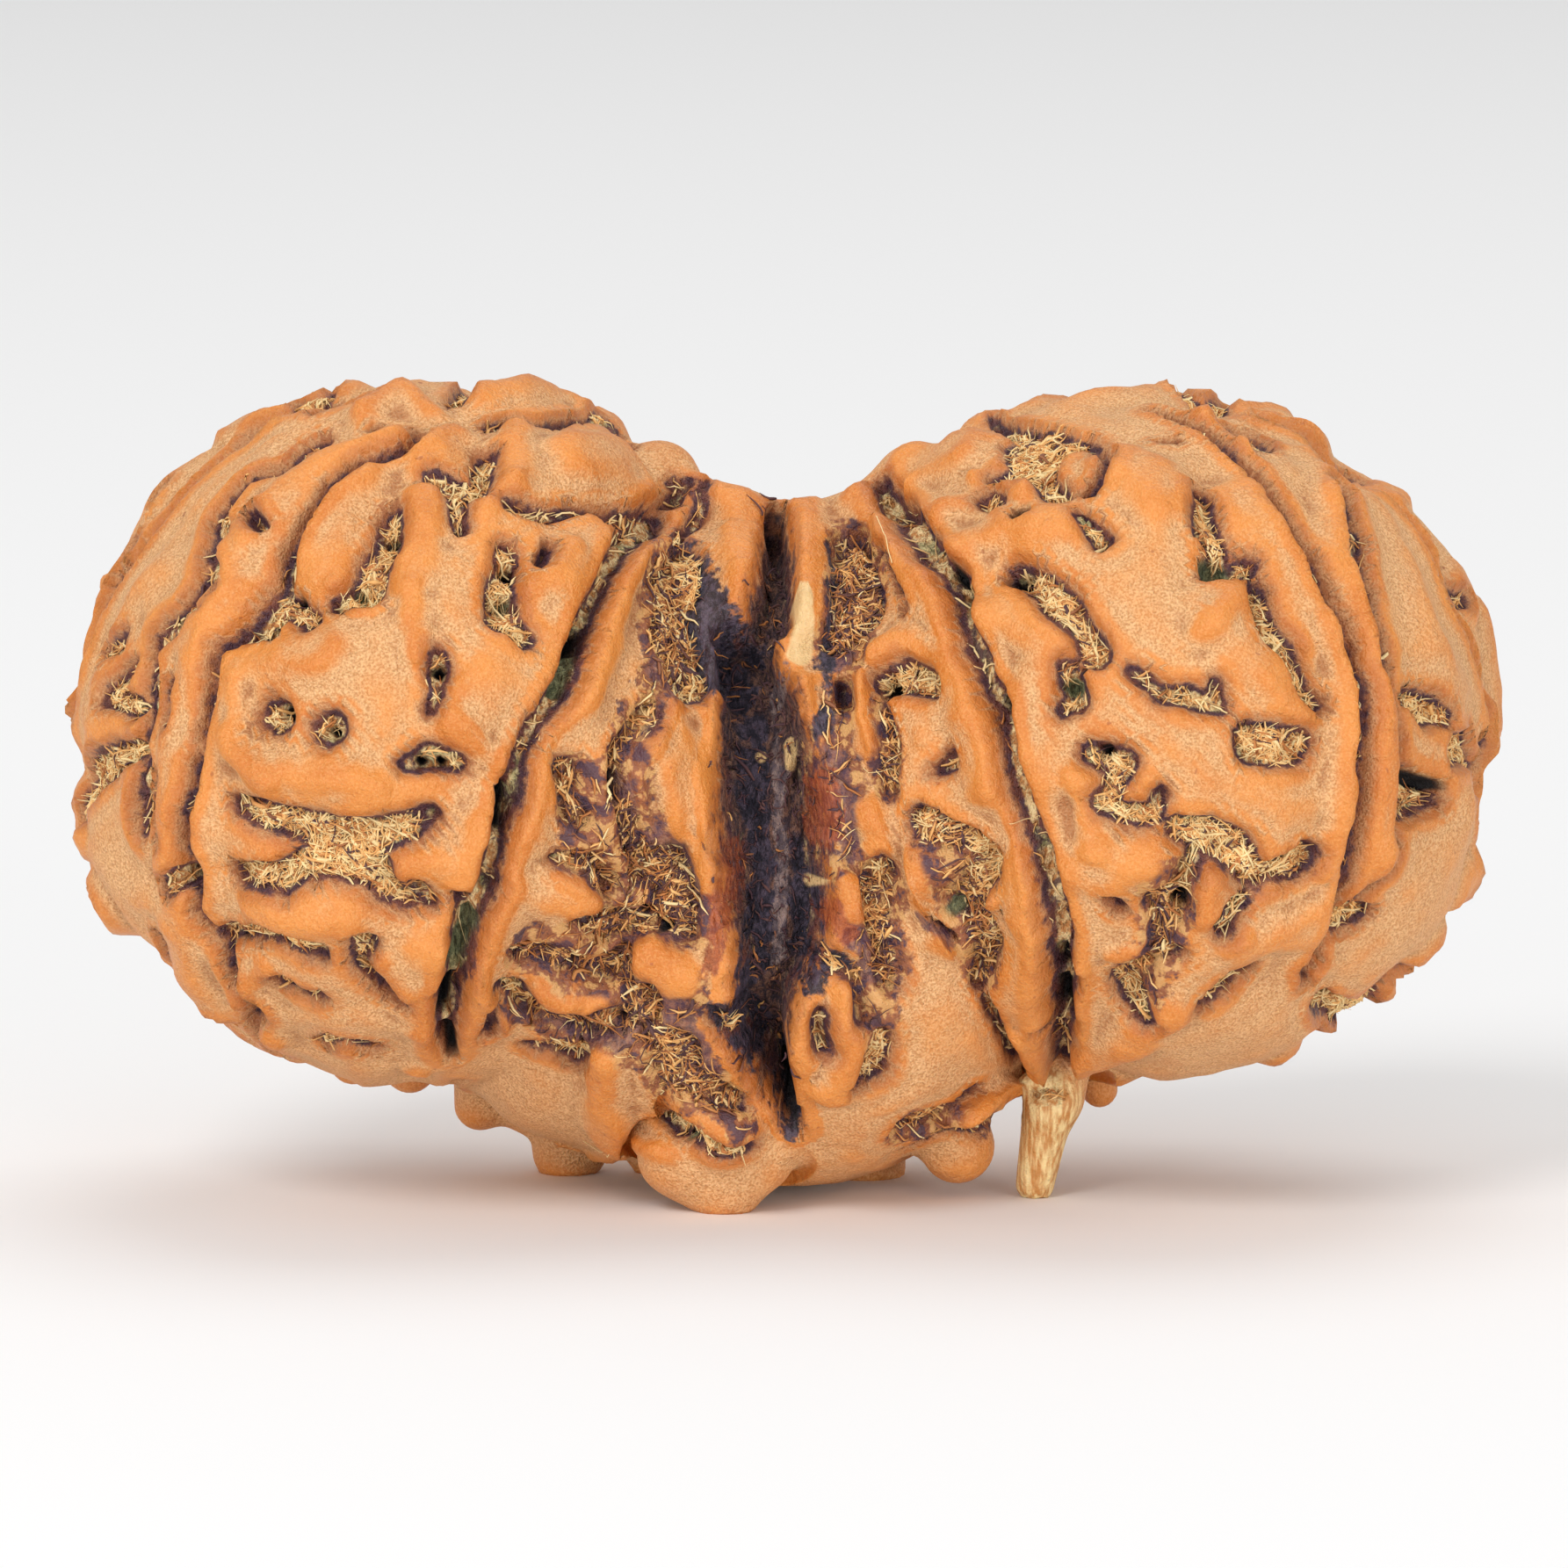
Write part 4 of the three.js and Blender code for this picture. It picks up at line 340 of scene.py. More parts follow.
# Ridges, fingers and knobs of the front: height, then points of across, up and half-width
RIDGES = [
    # Left stone
    (0.15, [(-10.9, 8.0, 0.5), (-12.4, 8.0, 0.6), (-13.2, 7.2, 0.6), (-14.0, 6.0, 0.6),
        (-14.9, 4.4, 0.6)]),
    (0.35, [(-8.7, 7.5, 0.3), (-10.1, 7.0, 0.4), (-11.0, 6.4, 0.4), (-11.9, 5.2, 0.4),
        (-12.0, 4.4, 0.3), (-13.0, 3.1, 0.35), (-13.4, 1.6, 0.35), (-13.5, -0.4, 0.35),
        (-13.4, -2.8, 0.4), (-12.6, -4.4, 0.5)]),
    (0.35, [(-9.4, 8.0, 0.3), (-8.6, 8.4, 0.35), (-8.0, 8.0, 0.3)]),
    (0.4, [(-7.5, 7.6, 0.4), (-8.0, 6.9, 0.4)]),
    (0.35, [(-9.5, 6.6, 0.5), (-10.2, 5.4, 0.6), (-10.1, 4.7, 0.5)]),
    (0.3, [(-8.1, 6.2, 0.4), (-8.3, 4.6, 0.45)]),
    (0.3, [(-6.3, 7.3, 0.4), (-6.2, 6.6, 0.35)]),
    (0.35, [(-7.0, 8.3, 0.35), (-5.4, 8.5, 0.4), (-3.9, 8.3, 0.4)]),
    (0.3, [(-4.9, 7.0, 0.7), (-3.7, 6.9, 0.7)]),
    (0.3, [(-4.5, 5.6, 0.5), (-5.3, 4.3, 0.5), (-6.9, 1.9, 0.6), (-7.2, 1.2, 0.5)]),
    (0.3, [(-12.2, 1.2, 0.4), (-11.2, 0.4, 0.4), (-10.0, 0.4, 0.4), (-9.1, 0.1, 0.45)]),
    (0.3, [(-11.5, 2.8, 0.5), (-10.0, 2.9, 0.5)]),
    (0.4, [(-8.4, -1.5, 0.4), (-7.3, -1.5, 0.45), (-6.85, -0.8, 0.4)]),
    (0.35, [(-11.5, -2.3, 0.4), (-9.8, -2.6, 0.45)]),
    (0.3, [(-8.1, -3.3, 0.5), (-8.1, -4.9, 0.5)]),
    (0.3, [(-5.5, 0.5, 0.3), (-5.8, -0.9, 0.35), (-6.3, -2.6, 0.4), (-6.9, -4.2, 0.35)]),
    (0.4, [(-2.9, 1.1, 0.8), (-2.4, -0.1, 0.7), (-1.75, -1.0, 0.4), (-1.55, -2.2, 0.2)]),
    (0.35, [(-6.0, -1.9, 0.5), (-4.9, -2.1, 0.6)]),
    (0.4, [(-5.6, -4.2, 0.3), (-4.6, -4.3, 0.3), (-3.9, -4.6, 0.35)]),
    (0.45, [(-2.95, -3.6, 0.45), (-2.1, -4.1, 0.45)]),
    (0.45, [(-3.7, -5.6, 0.4), (-3.75, -7.1, 0.5)]),
    (0.35, [(-2.1, 6.9, 0.3), (-1.1, 6.4, 0.4), (-1.0, 4.5, 0.4)]),
    (0.4, [(-1.45, 2.1, 0.2), (-1.4, 1.7, 0.2)]),
    (0.5, [(0.3, 2.2, 0.3), (0.3, 0.9, 0.3)]),
    # Rim of the left stone
    (0.4, [(-16.1, 1.6, 0.5)]),
    (0.5, [(-16.1, -0.9, 0.9)]),
    (0.7, [(-15.5, -2.6, 0.9)]),
    (0.15, [(-15.2, 4.8, 0.5)]),
    (0.45, [(-12.4, 8.3, 0.7), (-11.0, 9.0, 0.8), (-10.2, 9.3, 0.6)]),
    (0.2, [(-7.3, 9.2, 0.6)]),
    # Right stone
    (0.35, [(0.6, 6.3, 0.3), (0.6, 3.9, 0.35)]),
    (0.35, [(1.7, 6.6, 0.4), (2.3, 5.6, 0.35), (3.3, 4.6, 0.4), (3.7, 3.4, 0.4)]),
    (0.35, [(3.0, 7.2, 0.7), (4.2, 7.2, 0.8)]),
    (0.4, [(3.95, 6.1, 0.35)]),
    (0.35, [(4.1, 5.2, 0.4), (4.9, 5.6, 0.5), (6.3, 5.5, 0.5)]),
    (0.4, [(5.5, 6.35, 0.3)]),
    (0.35, [(4.9, 3.9, 0.4), (6.1, 3.2, 0.5), (5.5, 1.8, 0.5), (6.1, 0.3, 0.5)]),
    (0.4, [(2.3, 2.9, 0.25), (3.2, 3.3, 0.35), (3.8, 2.9, 0.35), (4.3, 1.4, 0.4), (4.6, 0.2, 0.4)]),
    (0.4, [(1.8, 2.2, 0.3), (1.9, 1.0, 0.4)]),
    (0.45, [(1.9, -0.5, 0.45), (2.05, -1.0, 0.45)]),
    (0.4, [(3.4, -1.5, 0.5), (3.2, -2.3, 0.4)]),
    (0.35, [(3.4, -3.2, 0.35)]),
    (0.35, [(5.3, -1.6, 0.4), (5.6, -3.0, 0.4), (5.4, -4.4, 0.5), (5.8, -5.7, 0.45)]),
    (0.3, [(7.6, 6.9, 0.6), (8.4, 6.2, 0.7)]),
    (0.3, [(9.4, 8.0, 0.35)]),
    (0.3, [(10.0, 6.2, 0.6), (10.8, 5.2, 0.5), (11.6, 3.4, 0.5)]),
    (0.3, [(9.5, 3.9, 0.7), (10.0, 2.8, 0.5), (11.3, 1.8, 0.3)]),
    (0.35, [(6.9, -1.5, 0.6), (8.0, -1.4, 0.5)]),
    (0.4, [(9.4, -1.7, 0.3), (9.3, -2.4, 0.3)]),
    (0.3, [(10.2, -3.1, 0.4), (11.5, -2.8, 0.5)]),
    (0.35, [(12.0, 6.3, 0.4), (12.1, 5.0, 0.3), (12.8, 3.9, 0.3), (12.95, 2.4, 0.25), (13.1, 0.6, 0.3),
        (13.0, -1.4, 0.3)]),
    (0.45, [(1.25, -4.3, 0.3), (1.35, -5.6, 0.3), (1.0, -6.4, 0.5)]),
    (0.35, [(0.4, -5.0, 0.25), (0.4, -6.0, 0.3)]),
    (0.4, [(3.9, -7.1, 0.35), (5.1, -6.7, 0.35)]),
    (0.4, [(6.9, -5.6, 0.5), (8.6, -4.4, 0.4)]),
    # Rim of the right stone
    (0.35, [(9.2, 9.4, 0.6), (10.4, 8.9, 0.6)]),
    (0.3, [(6.2, 9.0, 0.5), (4.5, 8.8, 0.6)]),
    (0.3, [(12.1, 8.3, 0.6)]),
    (0.3, [(11.3, 8.8, 0.6)]),
    (0.3, [(13.9, 6.8, 0.5)]),
    (0.3, [(15.5, 4.5, 0.7)]),
    (0.2, [(16.3, 1.4, 0.8)]),
    (0.4, [(15.4, -2.1, 0.7)]),
    (0.5, [(14.6, -3.7, 0.9)]),
    (0.6, [(13.3, -5.1, 1.0)]),
    (0.3, [(11.3, -5.7, 0.5)]),
]

# Tubercles, lumps and the splinter: start, end, half-width at each, and blend
LUMPS = [
    # Tubercles that it stands on
    ((-4.6, 2.0, -6.6), (-4.95, 2.4, -8.7), (1.1, 0.85), 0.9),
    ((-2.8, 2.0, -7.2), (-2.95, 2.4, -8.8), (0.8, 0.62), 0.8),
    ((-2.3, -2.4, -8.0), (-1.35, -2.8, -8.75), (0.9, 0.78), 0.6),
    ((1.6, 1.6, -7.2), (1.85, 2.0, -8.95), (1.0, 0.95), 0.7),
    ((3.5, -1.0, -7.2), (3.95, -0.9, -8.05), (1.1, 0.85), 0.8),
    # The splinter, and the root that it grows from
    ((6.05, -1.2, -6.9), (5.72, -1.0, -8.9), (0.6, 0.44), 0.3),
    ((6.4, -0.6, -5.6), (6.2, -0.9, -6.9), (0.8, 0.6), 0.5),
    # The front lip, and the knob over it
    ((-1.8, -4.0, -6.7), (-1.35, -4.0, -7.2), (0.7, 0.8), 0.4),
    ((-2.4, -3.0, -7.9), (-0.5, -3.0, -8.0), (0.8, 0.7), 0.7),
    # Low lumps along the back edge of each stone
    ((-6.4, 1.8, -6.3), (-3.4, 1.6, -7.5), (0.9, 0.9), 1.0),
    ((-5.9, 2.2, -6.8), (-5.95, 2.5, -7.75), (0.65, 0.55), 0.5),
    ((-6.9, 2.2, -6.3), (-7.0, 2.5, -7.65), (0.7, 0.6), 0.5),
    ((-8.5, 1.8, -5.6), (-8.6, 2.0, -6.7), (0.8, 0.6), 0.6),
    ((-10.0, 1.8, -5.2), (-9.9, 2.0, -6.55), (0.8, 0.55), 0.6),
    ((7.1, 1.6, -6.0), (7.25, 1.9, -7.2), (0.65, 0.42), 0.5),
    ((8.6, 1.8, -5.4), (8.9, 2.0, -6.0), (0.9, 0.65), 0.6),
    # Shoulders beside the notch at the top
    ((-3.7, 0.6, 6.6), (-2.85, 0.6, 7.0), (1.2, 0.95), 1.0),
    ((-1.8, 0, 6.0), (-0.9, 0, 6.25), (0.8, 0.65), 0.8),
    ((3.9, 0.6, 6.6), (3.05, 0.6, 6.85), (1.2, 1.05), 1.0),
    ((2.0, 0, 6.2), (0.9, 0, 6.05), (0.8, 0.6), 0.8),
]

# The valley between the stones behind, from straight behind
BACK_VALLEY = (1.7, [(0.1, 6.0, 0.3), (0.3, 4.4, 0.6), (-0.1, 2.0, 0.9), (0.2, -0.8, 1.0), (-0.1, -3.0, 0.8),
    (0.3, -5.2, 0.5), (0.0, -7.4, 0.3)])

# Small pits that only the fine surface has
FINE_PITS = [
    (0.5, [(-14.25, 5.5, 0.08), (-14.8, 4.6, 0.1)]),
    (0.4, [(-13.9, 6.3, 0.1), (-13.5, 6.6, 0.1)]),
    (0.5, [(-11.7, 5.8, 0.18), (-11.5, 5.6, 0.18)]),
    (0.5, [(-12.5, 5.1, 0.12), (-12.3, 4.7, 0.12), (-12.4, 4.3, 0.12)]),
    (0.3, [(-13.4, 3.65, 0.1), (-12.6, 4.0, 0.1)]),
    (0.4, [(-10.4, 8.1, 0.15), (-9.8, 8.3, 0.12), (-9.1, 8.5, 0.12)]),
    (0.5, [(-9.1, 7.75, 0.1), (-8.5, 7.65, 0.12), (-8.1, 7.5, 0.1)]),
    (0.5, [(-5.4, 5.3, 0.14), (-5.5, 4.8, 0.12)]),
    (0.5, [(-12.5, -4.6, 0.1), (-12.2, -4.8, 0.1)]),
    (0.5, [(-7.3, -2.1, 0.12), (-7.2, -2.4, 0.12)]),
    (0.4, [(-6.6, -4.6, 0.12), (-6.7, -5.2, 0.12)]),
    (0.5, [(-4.3, -1.7, 0.1), (-4.2, -2.0, 0.1), (-4.3, -2.25, 0.1)]),
    (0.4, [(-2.6, -6.2, 0.08), (-1.9, -6.1, 0.08)]),
    (0.4, [(-2.7, -5.3, 0.1), (-2.75, -4.9, 0.1), (-2.85, -4.5, 0.1)]),
    (0.5, [(1.7, 5.6, 0.12), (1.85, 5.2, 0.12)]),
    (0.5, [(2.55, 5.1, 0.1), (2.8, 4.8, 0.1), (2.9, 4.4, 0.1), (3.0, 3.9, 0.08)]),
    (0.6, [(2.3, 5.1, 0.2)]),
    (0.6, [(1.35, 2.3, 0.2), (1.35, 1.9, 0.2)]),
    (0.4, [(8.4, 7.5, 0.08), (8.75, 7.55, 0.08)]),
    (0.5, [(11.9, 7.3, 0.18)]),
    (0.5, [(6.9, 7.5, 0.1), (7.3, 6.9, 0.14), (6.9, 6.35, 0.14)]),
    (0.5, [(7.3, -2.2, 0.12), (7.5, -2.4, 0.14)]),
    (0.5, [(3.4, -2.6, 0.12), (3.9, -2.95, 0.14)]),
    (0.5, [(5.95, -4.9, 0.12)]),
    (0.5, [(11.45, -4.1, 0.08), (11.5, -3.65, 0.1), (11.8, -3.55, 0.08)]),
    (0.4, [(7.7, -5.95, 0.1), (8.4, -6.1, 0.12), (9.2, -6.25, 0.1)]),
    (0.4, [(11.0, -5.5, 0.1), (12.0, -5.4, 0.1)]),
    (0.6, [(-1.45, -4.9, 0.2), (-0.6, -6.3, 0.24)]),
    (0.5, [(4.8, -7.3, 0.12), (5.2, -7.2, 0.12)]),
]

# Narrow ridges, beads and knobs that only the fine surface has
FINE_RIDGES = [
    (0.2, [(-2.2, 6.6, 0.12), (-3.4, 5.6, 0.12)]),
    (0.25, [(-6.1, 7.6, 0.3)]),
    (0.2, [(-6.7, 5.9, 0.25), (-6.3, 6.5, 0.25)]),
    (0.25, [(-9.9, 4.4, 0.12), (-9.4, 3.7, 0.12), (-9.0, 3.7, 0.12)]),
    (0.25, [(-6.0, 4.2, 0.2), (-5.2, 4.4, 0.25), (-4.9, 5.1, 0.25)]),
    (0.2, [(-7.5, 1.6, 0.25), (-6.8, 1.0, 0.25), (-6.3, 0.8, 0.25)]),
    (0.25, [(-11.4, -3.7, 0.22), (-12.0, -4.35, 0.22)]),
    (0.2, [(-11.3, -5.2, 0.3)]),
    (0.25, [(-8.3, -5.9, 0.3)]),
    (0.2, [(-3.1, 1.9, 0.15), (-2.2, 1.93, 0.15), (-1.75, 1.6, 0.15), (-1.9, 0.3, 0.15), (-1.62, -0.2, 0.15),
        (-1.5, -1.5, 0.15)]),
    (0.2, [(-3.3, 1.4, 0.12), (-3.65, 0.5, 0.12), (-3.55, -0.5, 0.12)]),
    (0.25, [(-1.0, 1.35, 0.12)]),
    (0.3, [(-0.75, 1.0, 0.16)]),
    (0.25, [(-0.15, 2.0, 0.15), (0.75, 2.45, 0.15)]),
    (0.3, [(1.35, -2.1, 0.3), (1.5, -2.7, 0.3)]),
    (0.3, [(0.8, -2.05, 0.15)]),
    (0.25, [(4.48, 6.74, 0.16)]),
    (0.25, [(9.4, 8.05, 0.16)]),
    (0.25, [(10.2, 7.3, 0.25)]),
    (0.2, [(7.5, 0.75, 0.12), (8.1, 0.3, 0.18)]),
    (0.25, [(7.4, -3.4, 0.2), (8.1, -3.05, 0.2)]),
    (0.25, [(9.75, -2.5, 0.12), (9.4, -2.75, 0.12), (9.75, -3.1, 0.12), (10.2, -2.75, 0.12)]),
    (0.3, [(4.75, -2.2, 0.2)]),
    (0.25, [(6.6, -3.7, 0.16)]),
    (0.2, [(1.9, 2.5, 0.15), (1.7, 1.5, 0.15), (2.1, 0.9, 0.15)]),
    (0.2, [(0.3, 6.3, 0.12), (0.4, 3.8, 0.14)]),
    (0.25, [(0.4, 3.6, 0.3)]),
    (0.25, [(3.9, -7.2, 0.2), (5.0, -6.8, 0.2), (5.6, -6.6, 0.2)]),
    (0.2, [(-5.0, -7.65, 0.2), (-4.3, -7.8, 0.2), (-3.4, -7.4, 0.2), (-3.3, -8.0, 0.2), (-2.6, -8.3, 0.2)]),
    (0.2, [(2.5, 6.3, 0.12), (3.3, 5.5, 0.12)]),
    (0.25, [(-3.3, 5.1, 0.22), (-3.7, 4.4, 0.28), (-4.2, 3.2, 0.28), (-4.6, 2.0, 0.25)]),
    (0.25, [(-8.1, 3.0, 0.3), (-8.3, 4.2, 0.3)]),
    (0.25, [(-12.0, 2.4, 0.25), (-11.9, 0.8, 0.25), (-11.2, 0.3, 0.3)]),
    (0.25, [(-7.0, -3.6, 0.2), (-6.5, -4.9, 0.25)]),
    (0.2, [(-8.9, -3.4, 0.2), (-8.3, -4.2, 0.2)]),
    (0.25, [(9.2, 3.4, 0.3), (9.9, 4.1, 0.25)]),
    (0.25, [(11.9, 3.6, 0.25), (12.3, 2.2, 0.25), (12.2, 0.4, 0.25), (11.9, -1.6, 0.25)]),
    (0.25, [(6.6, 0.3, 0.3), (6.9, -1.0, 0.3)]),
    (0.3, [(5.3, -5.0, 0.3), (5.9, -5.9, 0.25)]),
]

# Holes that go deeper than their pit: points of across, up and half-width
DARK_HOLES = [
    [(-4.55, 3.55, 0.11), (-4.7, 3.2, 0.11)],
    [(-6.3, 0.1, 0.1), (-6.35, -0.8, 0.1)],
    [(-7.5, -4.2, 0.12), (-7.7, -4.9, 0.12)],
    [(-7.55, -5.3, 0.1), (-7.5, -5.7, 0.1)],
    [(-13.2, -1.85, 0.13)],
    [(-8.7, 5.5, 0.15)],
    [(-6.2, 4.8, 0.15)],
    [(-11.3, 3.4, 0.13)],
    [(-10.8, 4.2, 0.12)],
    [(-11.0, 1.7, 0.14)],
    [(-9.95, 1.3, 0.1)],
    [(-7.65, 2.6, 0.12)],
    [(-7.6, 0.65, 0.1)],
    [(-8.05, 0.65, 0.12)],
    [(-12.1, -3.2, 0.13)],
    [(-3.95, 0.35, 0.12), (-3.95, -0.05, 0.12)],
    [(-3.1, -2.57, 0.1)],
    [(-2.62, -3.0, 0.12)],
    [(-3.53, -4.92, 0.1)],
    [(-4.8, -3.55, 0.1), (-4.62, -3.53, 0.1)],
    [(-1.55, -8.15, 0.12)],
    [(0.0, -7.2, 0.14), (0.2, -7.55, 0.12)],
    [(3.8, 4.95, 0.1), (3.95, 4.8, 0.1)],
    [(4.05, 4.5, 0.1), (4.15, 4.4, 0.1)],
    [(4.9, 2.05, 0.09), (5.1, 1.7, 0.09)],
    [(6.3, -3.6, 0.1), (6.3, -3.95, 0.1)],
    [(6.28, -4.25, 0.12), (6.33, -4.95, 0.12)],
    [(5.5, 5.8, 0.2)],
    [(5.1, 4.7, 0.14), (5.4, 4.7, 0.14)],
    [(2.45, 2.25, 0.16)],
    [(7.2, 0.9, 0.12)],
    [(8.8, -2.3, 0.18)],
    [(13.6, -3.6, 0.15)],
    [(13.2, -4.0, 0.15)],
    [(15.5, 1.2, 0.14), (15.5, 0.6, 0.14)],
    [(13.9, 0.3, 0.14), (14.5, 0.1, 0.14)],
]
GREEN_HOLES = [
    [(-4.75, 3.2, 0.15), (-5.1, 2.2, 0.15)],
    [(-7.0, -2.8, 0.15), (-7.4, -3.7, 0.15)],
    [(-3.0, 5.7, 0.12)],
    [(6.45, 2.3, 0.2)],
    [(9.4, 4.8, 0.22), (9.7, 4.75, 0.2)],
    [(4.0, -2.45, 0.18)],
    [(-2.3, -7.8, 0.15)],
    [(-10.8, -4.2, 0.2)],
    [(-9.4, 4.3, 0.14)],
    [(-6.3, 4.1, 0.16)],
]

# Stains by colour: points of across, up and half-width
STAINS = {
    "flank": [
        [(-2.4, 5.4, 0.4), (-2.7, 4.2, 0.8), (-2.6, 3.0, 0.9), (-3.2, 2.3, 0.5)],
        [(-3.6, 1.6, 0.4), (-3.9, 0.2, 0.5), (-3.6, -1.0, 0.7)],
        [(-4.8, 0.4, 0.4), (-4.7, -0.8, 0.6)],
        [(-4.6, -1.4, 0.6), (-3.2, -2.0, 1.1), (-2.2, -2.8, 0.7)],
        [(-5.6, -3.3, 0.6), (-4.0, -3.3, 1.0), (-2.5, -4.6, 0.9)],
        [(-6.0, -4.7, 0.4), (-4.7, -5.1, 0.7), (-3.2, -5.1, 0.7)],
        [(-2.6, -5.4, 0.8), (-1.9, -6.5, 0.8), (-1.0, -7.4, 0.4)],
        [(1.5, 5.7, 0.3), (1.7, 4.6, 0.8), (1.5, 3.3, 0.8)],
        [(1.2, 2.0, 0.4), (1.3, 0.0, 0.5), (1.6, -1.6, 0.6)],
        [(2.3, 1.6, 0.3), (2.5, 0.2, 0.4)],
        [(2.0, -2.2, 0.6), (2.0, -3.8, 0.6), (1.7, -5.2, 0.4)],
        [(3.9, -1.2, 0.5), (4.3, -2.4, 0.4), (4.5, -3.8, 0.5)],
        [(8.5, -1.8, 0.5), (8.3, -3.0, 0.4), (8.0, -4.0, 0.5)],
        [(2.7, -7.3, 0.5), (3.6, -7.3, 0.4), (4.9, -7.4, 0.4)],
    ],
    "navy": [
        [(-2.1, 5.3, 0.15), (-1.8, 4.7, 0.25), (-1.6, 4.0, 0.45), (-1.4, 3.2, 0.6), (-1.3, 2.5, 0.5)],
        [(-1.6, 4.1, 0.12), (-1.0, 3.9, 0.15), (-0.3, 3.75, 0.12)],
        [(-0.9, 1.9, 0.3), (-0.85, 0.4, 0.35), (-0.75, -1.4, 0.4), (-0.65, -3.3, 0.35), (-0.9, -4.6, 0.3)],
        [(-1.3, -4.9, 0.3), (-0.9, -5.6, 0.3), (-0.5, -6.5, 0.25)],
        [(0.55, -1.4, 0.3), (0.6, -2.6, 0.35), (0.5, -3.7, 0.25)],
        [(1.0, 5.2, 0.1), (1.1, 4.4, 0.1), (1.0, 3.2, 0.12), (0.9, 2.2, 0.2), (1.0, 1.2, 0.15)],
        [(0.5, -4.4, 0.15), (0.9, -3.95, 0.15), (1.35, -3.8, 0.15)],
        [(-0.05, -7.0, 0.2), (0.15, -7.6, 0.2)],
    ],
    "purple": [
        [(-2.6, 5.5, 0.15), (-2.2, 5.0, 0.25), (-2.3, 4.2, 0.3)],
        [(-3.2, 2.6, 0.2), (-2.6, 2.2, 0.3), (-2.0, 2.2, 0.25)],
        [(-3.0, -0.9, 0.3), (-2.3, -1.5, 0.4), (-2.1, -2.4, 0.4), (-2.4, -3.1, 0.4)],
        [(-3.5, -4.0, 0.2), (-2.6, -4.4, 0.4), (-2.0, -5.2, 0.4), (-1.7, -6.2, 0.4)],
        [(-5.6, -3.4, 0.2), (-4.2, -3.7, 0.25), (-3.3, -3.4, 0.2)],
        [(-5.8, -4.7, 0.2), (-4.6, -5.1, 0.25), (-3.4, -5.1, 0.3)],
        [(1.4, 5.5, 0.15), (1.5, 4.6, 0.3), (1.5, 3.8, 0.3), (1.2, 2.9, 0.3)],
        [(1.15, 0.9, 0.25), (1.2, -0.2, 0.3), (1.3, -1.3, 0.25)],
        [(1.6, -3.3, 0.3), (1.9, -4.0, 0.3)],
        [(-3.9, 1.0, 0.15), (-3.9, 0.0, 0.2), (-3.6, -1.0, 0.2)],
        [(3.1, -2.7, 0.15), (3.7, -3.0, 0.2)],
    ],
    "rust": [
        [(1.35, -3.2, 0.2), (1.0, -2.6, 0.2)],
        [(0.95, 0.2, 0.2), (1.0, -1.0, 0.2)],
        [(-1.45, -1.2, 0.15), (-1.4, -2.6, 0.15), (-1.5, -3.8, 0.15)],
        [(-2.5, 3.6, 0.2), (-2.3, 3.0, 0.2)],
    ],
    "grey": [
        [(-0.15, 2.6, 0.2), (-0.1, 0.4, 0.25), (-0.1, -1.6, 0.3), (-0.15, -4.0, 0.3)],
    ],
    "pale": [
        [(0.35, 4.1, 0.2), (0.4, 3.0, 0.25)],
        [(0.33, 1.2, 0.22), (0.33, 0.75, 0.22)],
        [(-0.75, 1.0, 0.14)],
        [(0.85, -2.05, 0.15)],
    ],
}

# The parts of the stone that no one sees from the front
BACK_CLEFT_TURNS = [88, 132, 176, 222]
BACK_CLEFT_TILTS = np.arange(0.35, 2.7, 0.16)
BACK_CLEFT_DEPTH = 1.1
BACK_CLEFT_HALF = 0.28
BACK_CLEFT_SWELL = 0.08
BACK_STROKE_TRIES = 3200
BACK_STROKE_DRAWS = 8
BACK_STROKE_SPREAD = 1.25
BACK_STROKE_BEND = 1.6
BACK_STROKE_HALF = 0.24
BACK_STROKE_SWELL = 0.2
BACK_STROKE_GAP = 0.42
BACK_STROKE_STEPS = 4
BACK_STROKE_STEP = 0.8
BACK_PIT_SHARE = 0.6
BACK_PIT_DEPTH = 0.6
BACK_RIDGE_HEIGHT = 0.35
BACK_RIDGE_WIDENING = 1.3
BACK_EDGE = 0.1
BACK_FLOOR_GAP = 1.2
BACK_SEED = 29
PACKED_HALF = 0.28


def smooth(t):
    s = np.clip(t, 0, 1)
    return s * s * (3 - 2 * s)


def unit(vectors):
    return vectors / np.maximum(np.linalg.norm(vectors, axis=-1, keepdims=True), 1e-9)


def cell_value(cells, seed):
    """A fixed number from -1 to 1 for every whole-numbered cell."""
    x, y, z = (cells[..., axis].astype(np.int64) & 0xFFFFFFFF for axis in range(3))
    mixed = (x * 73856093 ^ y * 19349663 ^ z * 83492791 ^ seed * 2654435761) & 0xFFFFFFFF
    mixed = (mixed ^ (mixed >> 15)) * 2246822519 & 0xFFFFFFFF
    mixed = (mixed ^ (mixed >> 13)) * 3266489917 & 0xFFFFFFFF
    return (mixed ^ (mixed >> 16)) / 0x7FFFFFFF - 1


def noise(points, size, seed):
    """Smooth noise from -1 to 1 with lumps of this size."""
    scaled = points / size + 100
    cell = np.floor(scaled)
    share = smooth(scaled - cell)
    total = np.zeros(points.shape[:-1])
    for corner in np.ndindex(2, 2, 2):
        weight = np.prod(np.where(np.array(corner) == 1, share, 1 - share), axis=-1)
        total += weight * cell_value(cell + corner, seed)
    return total


def layered_noise(points, layers, seed):
    """The sum of noises from (size, height) pairs, with a seed for each."""
    return sum(height * noise(points, size, seed + i) for i, (size, height) in enumerate(layers))


def blended(a, b, blend):
    """Joins two signed distances with a round fillet."""
    overlap = np.maximum(blend - np.abs(a - b), 0) / blend
    return np.minimum(a, b) - overlap * overlap * blend * 0.25


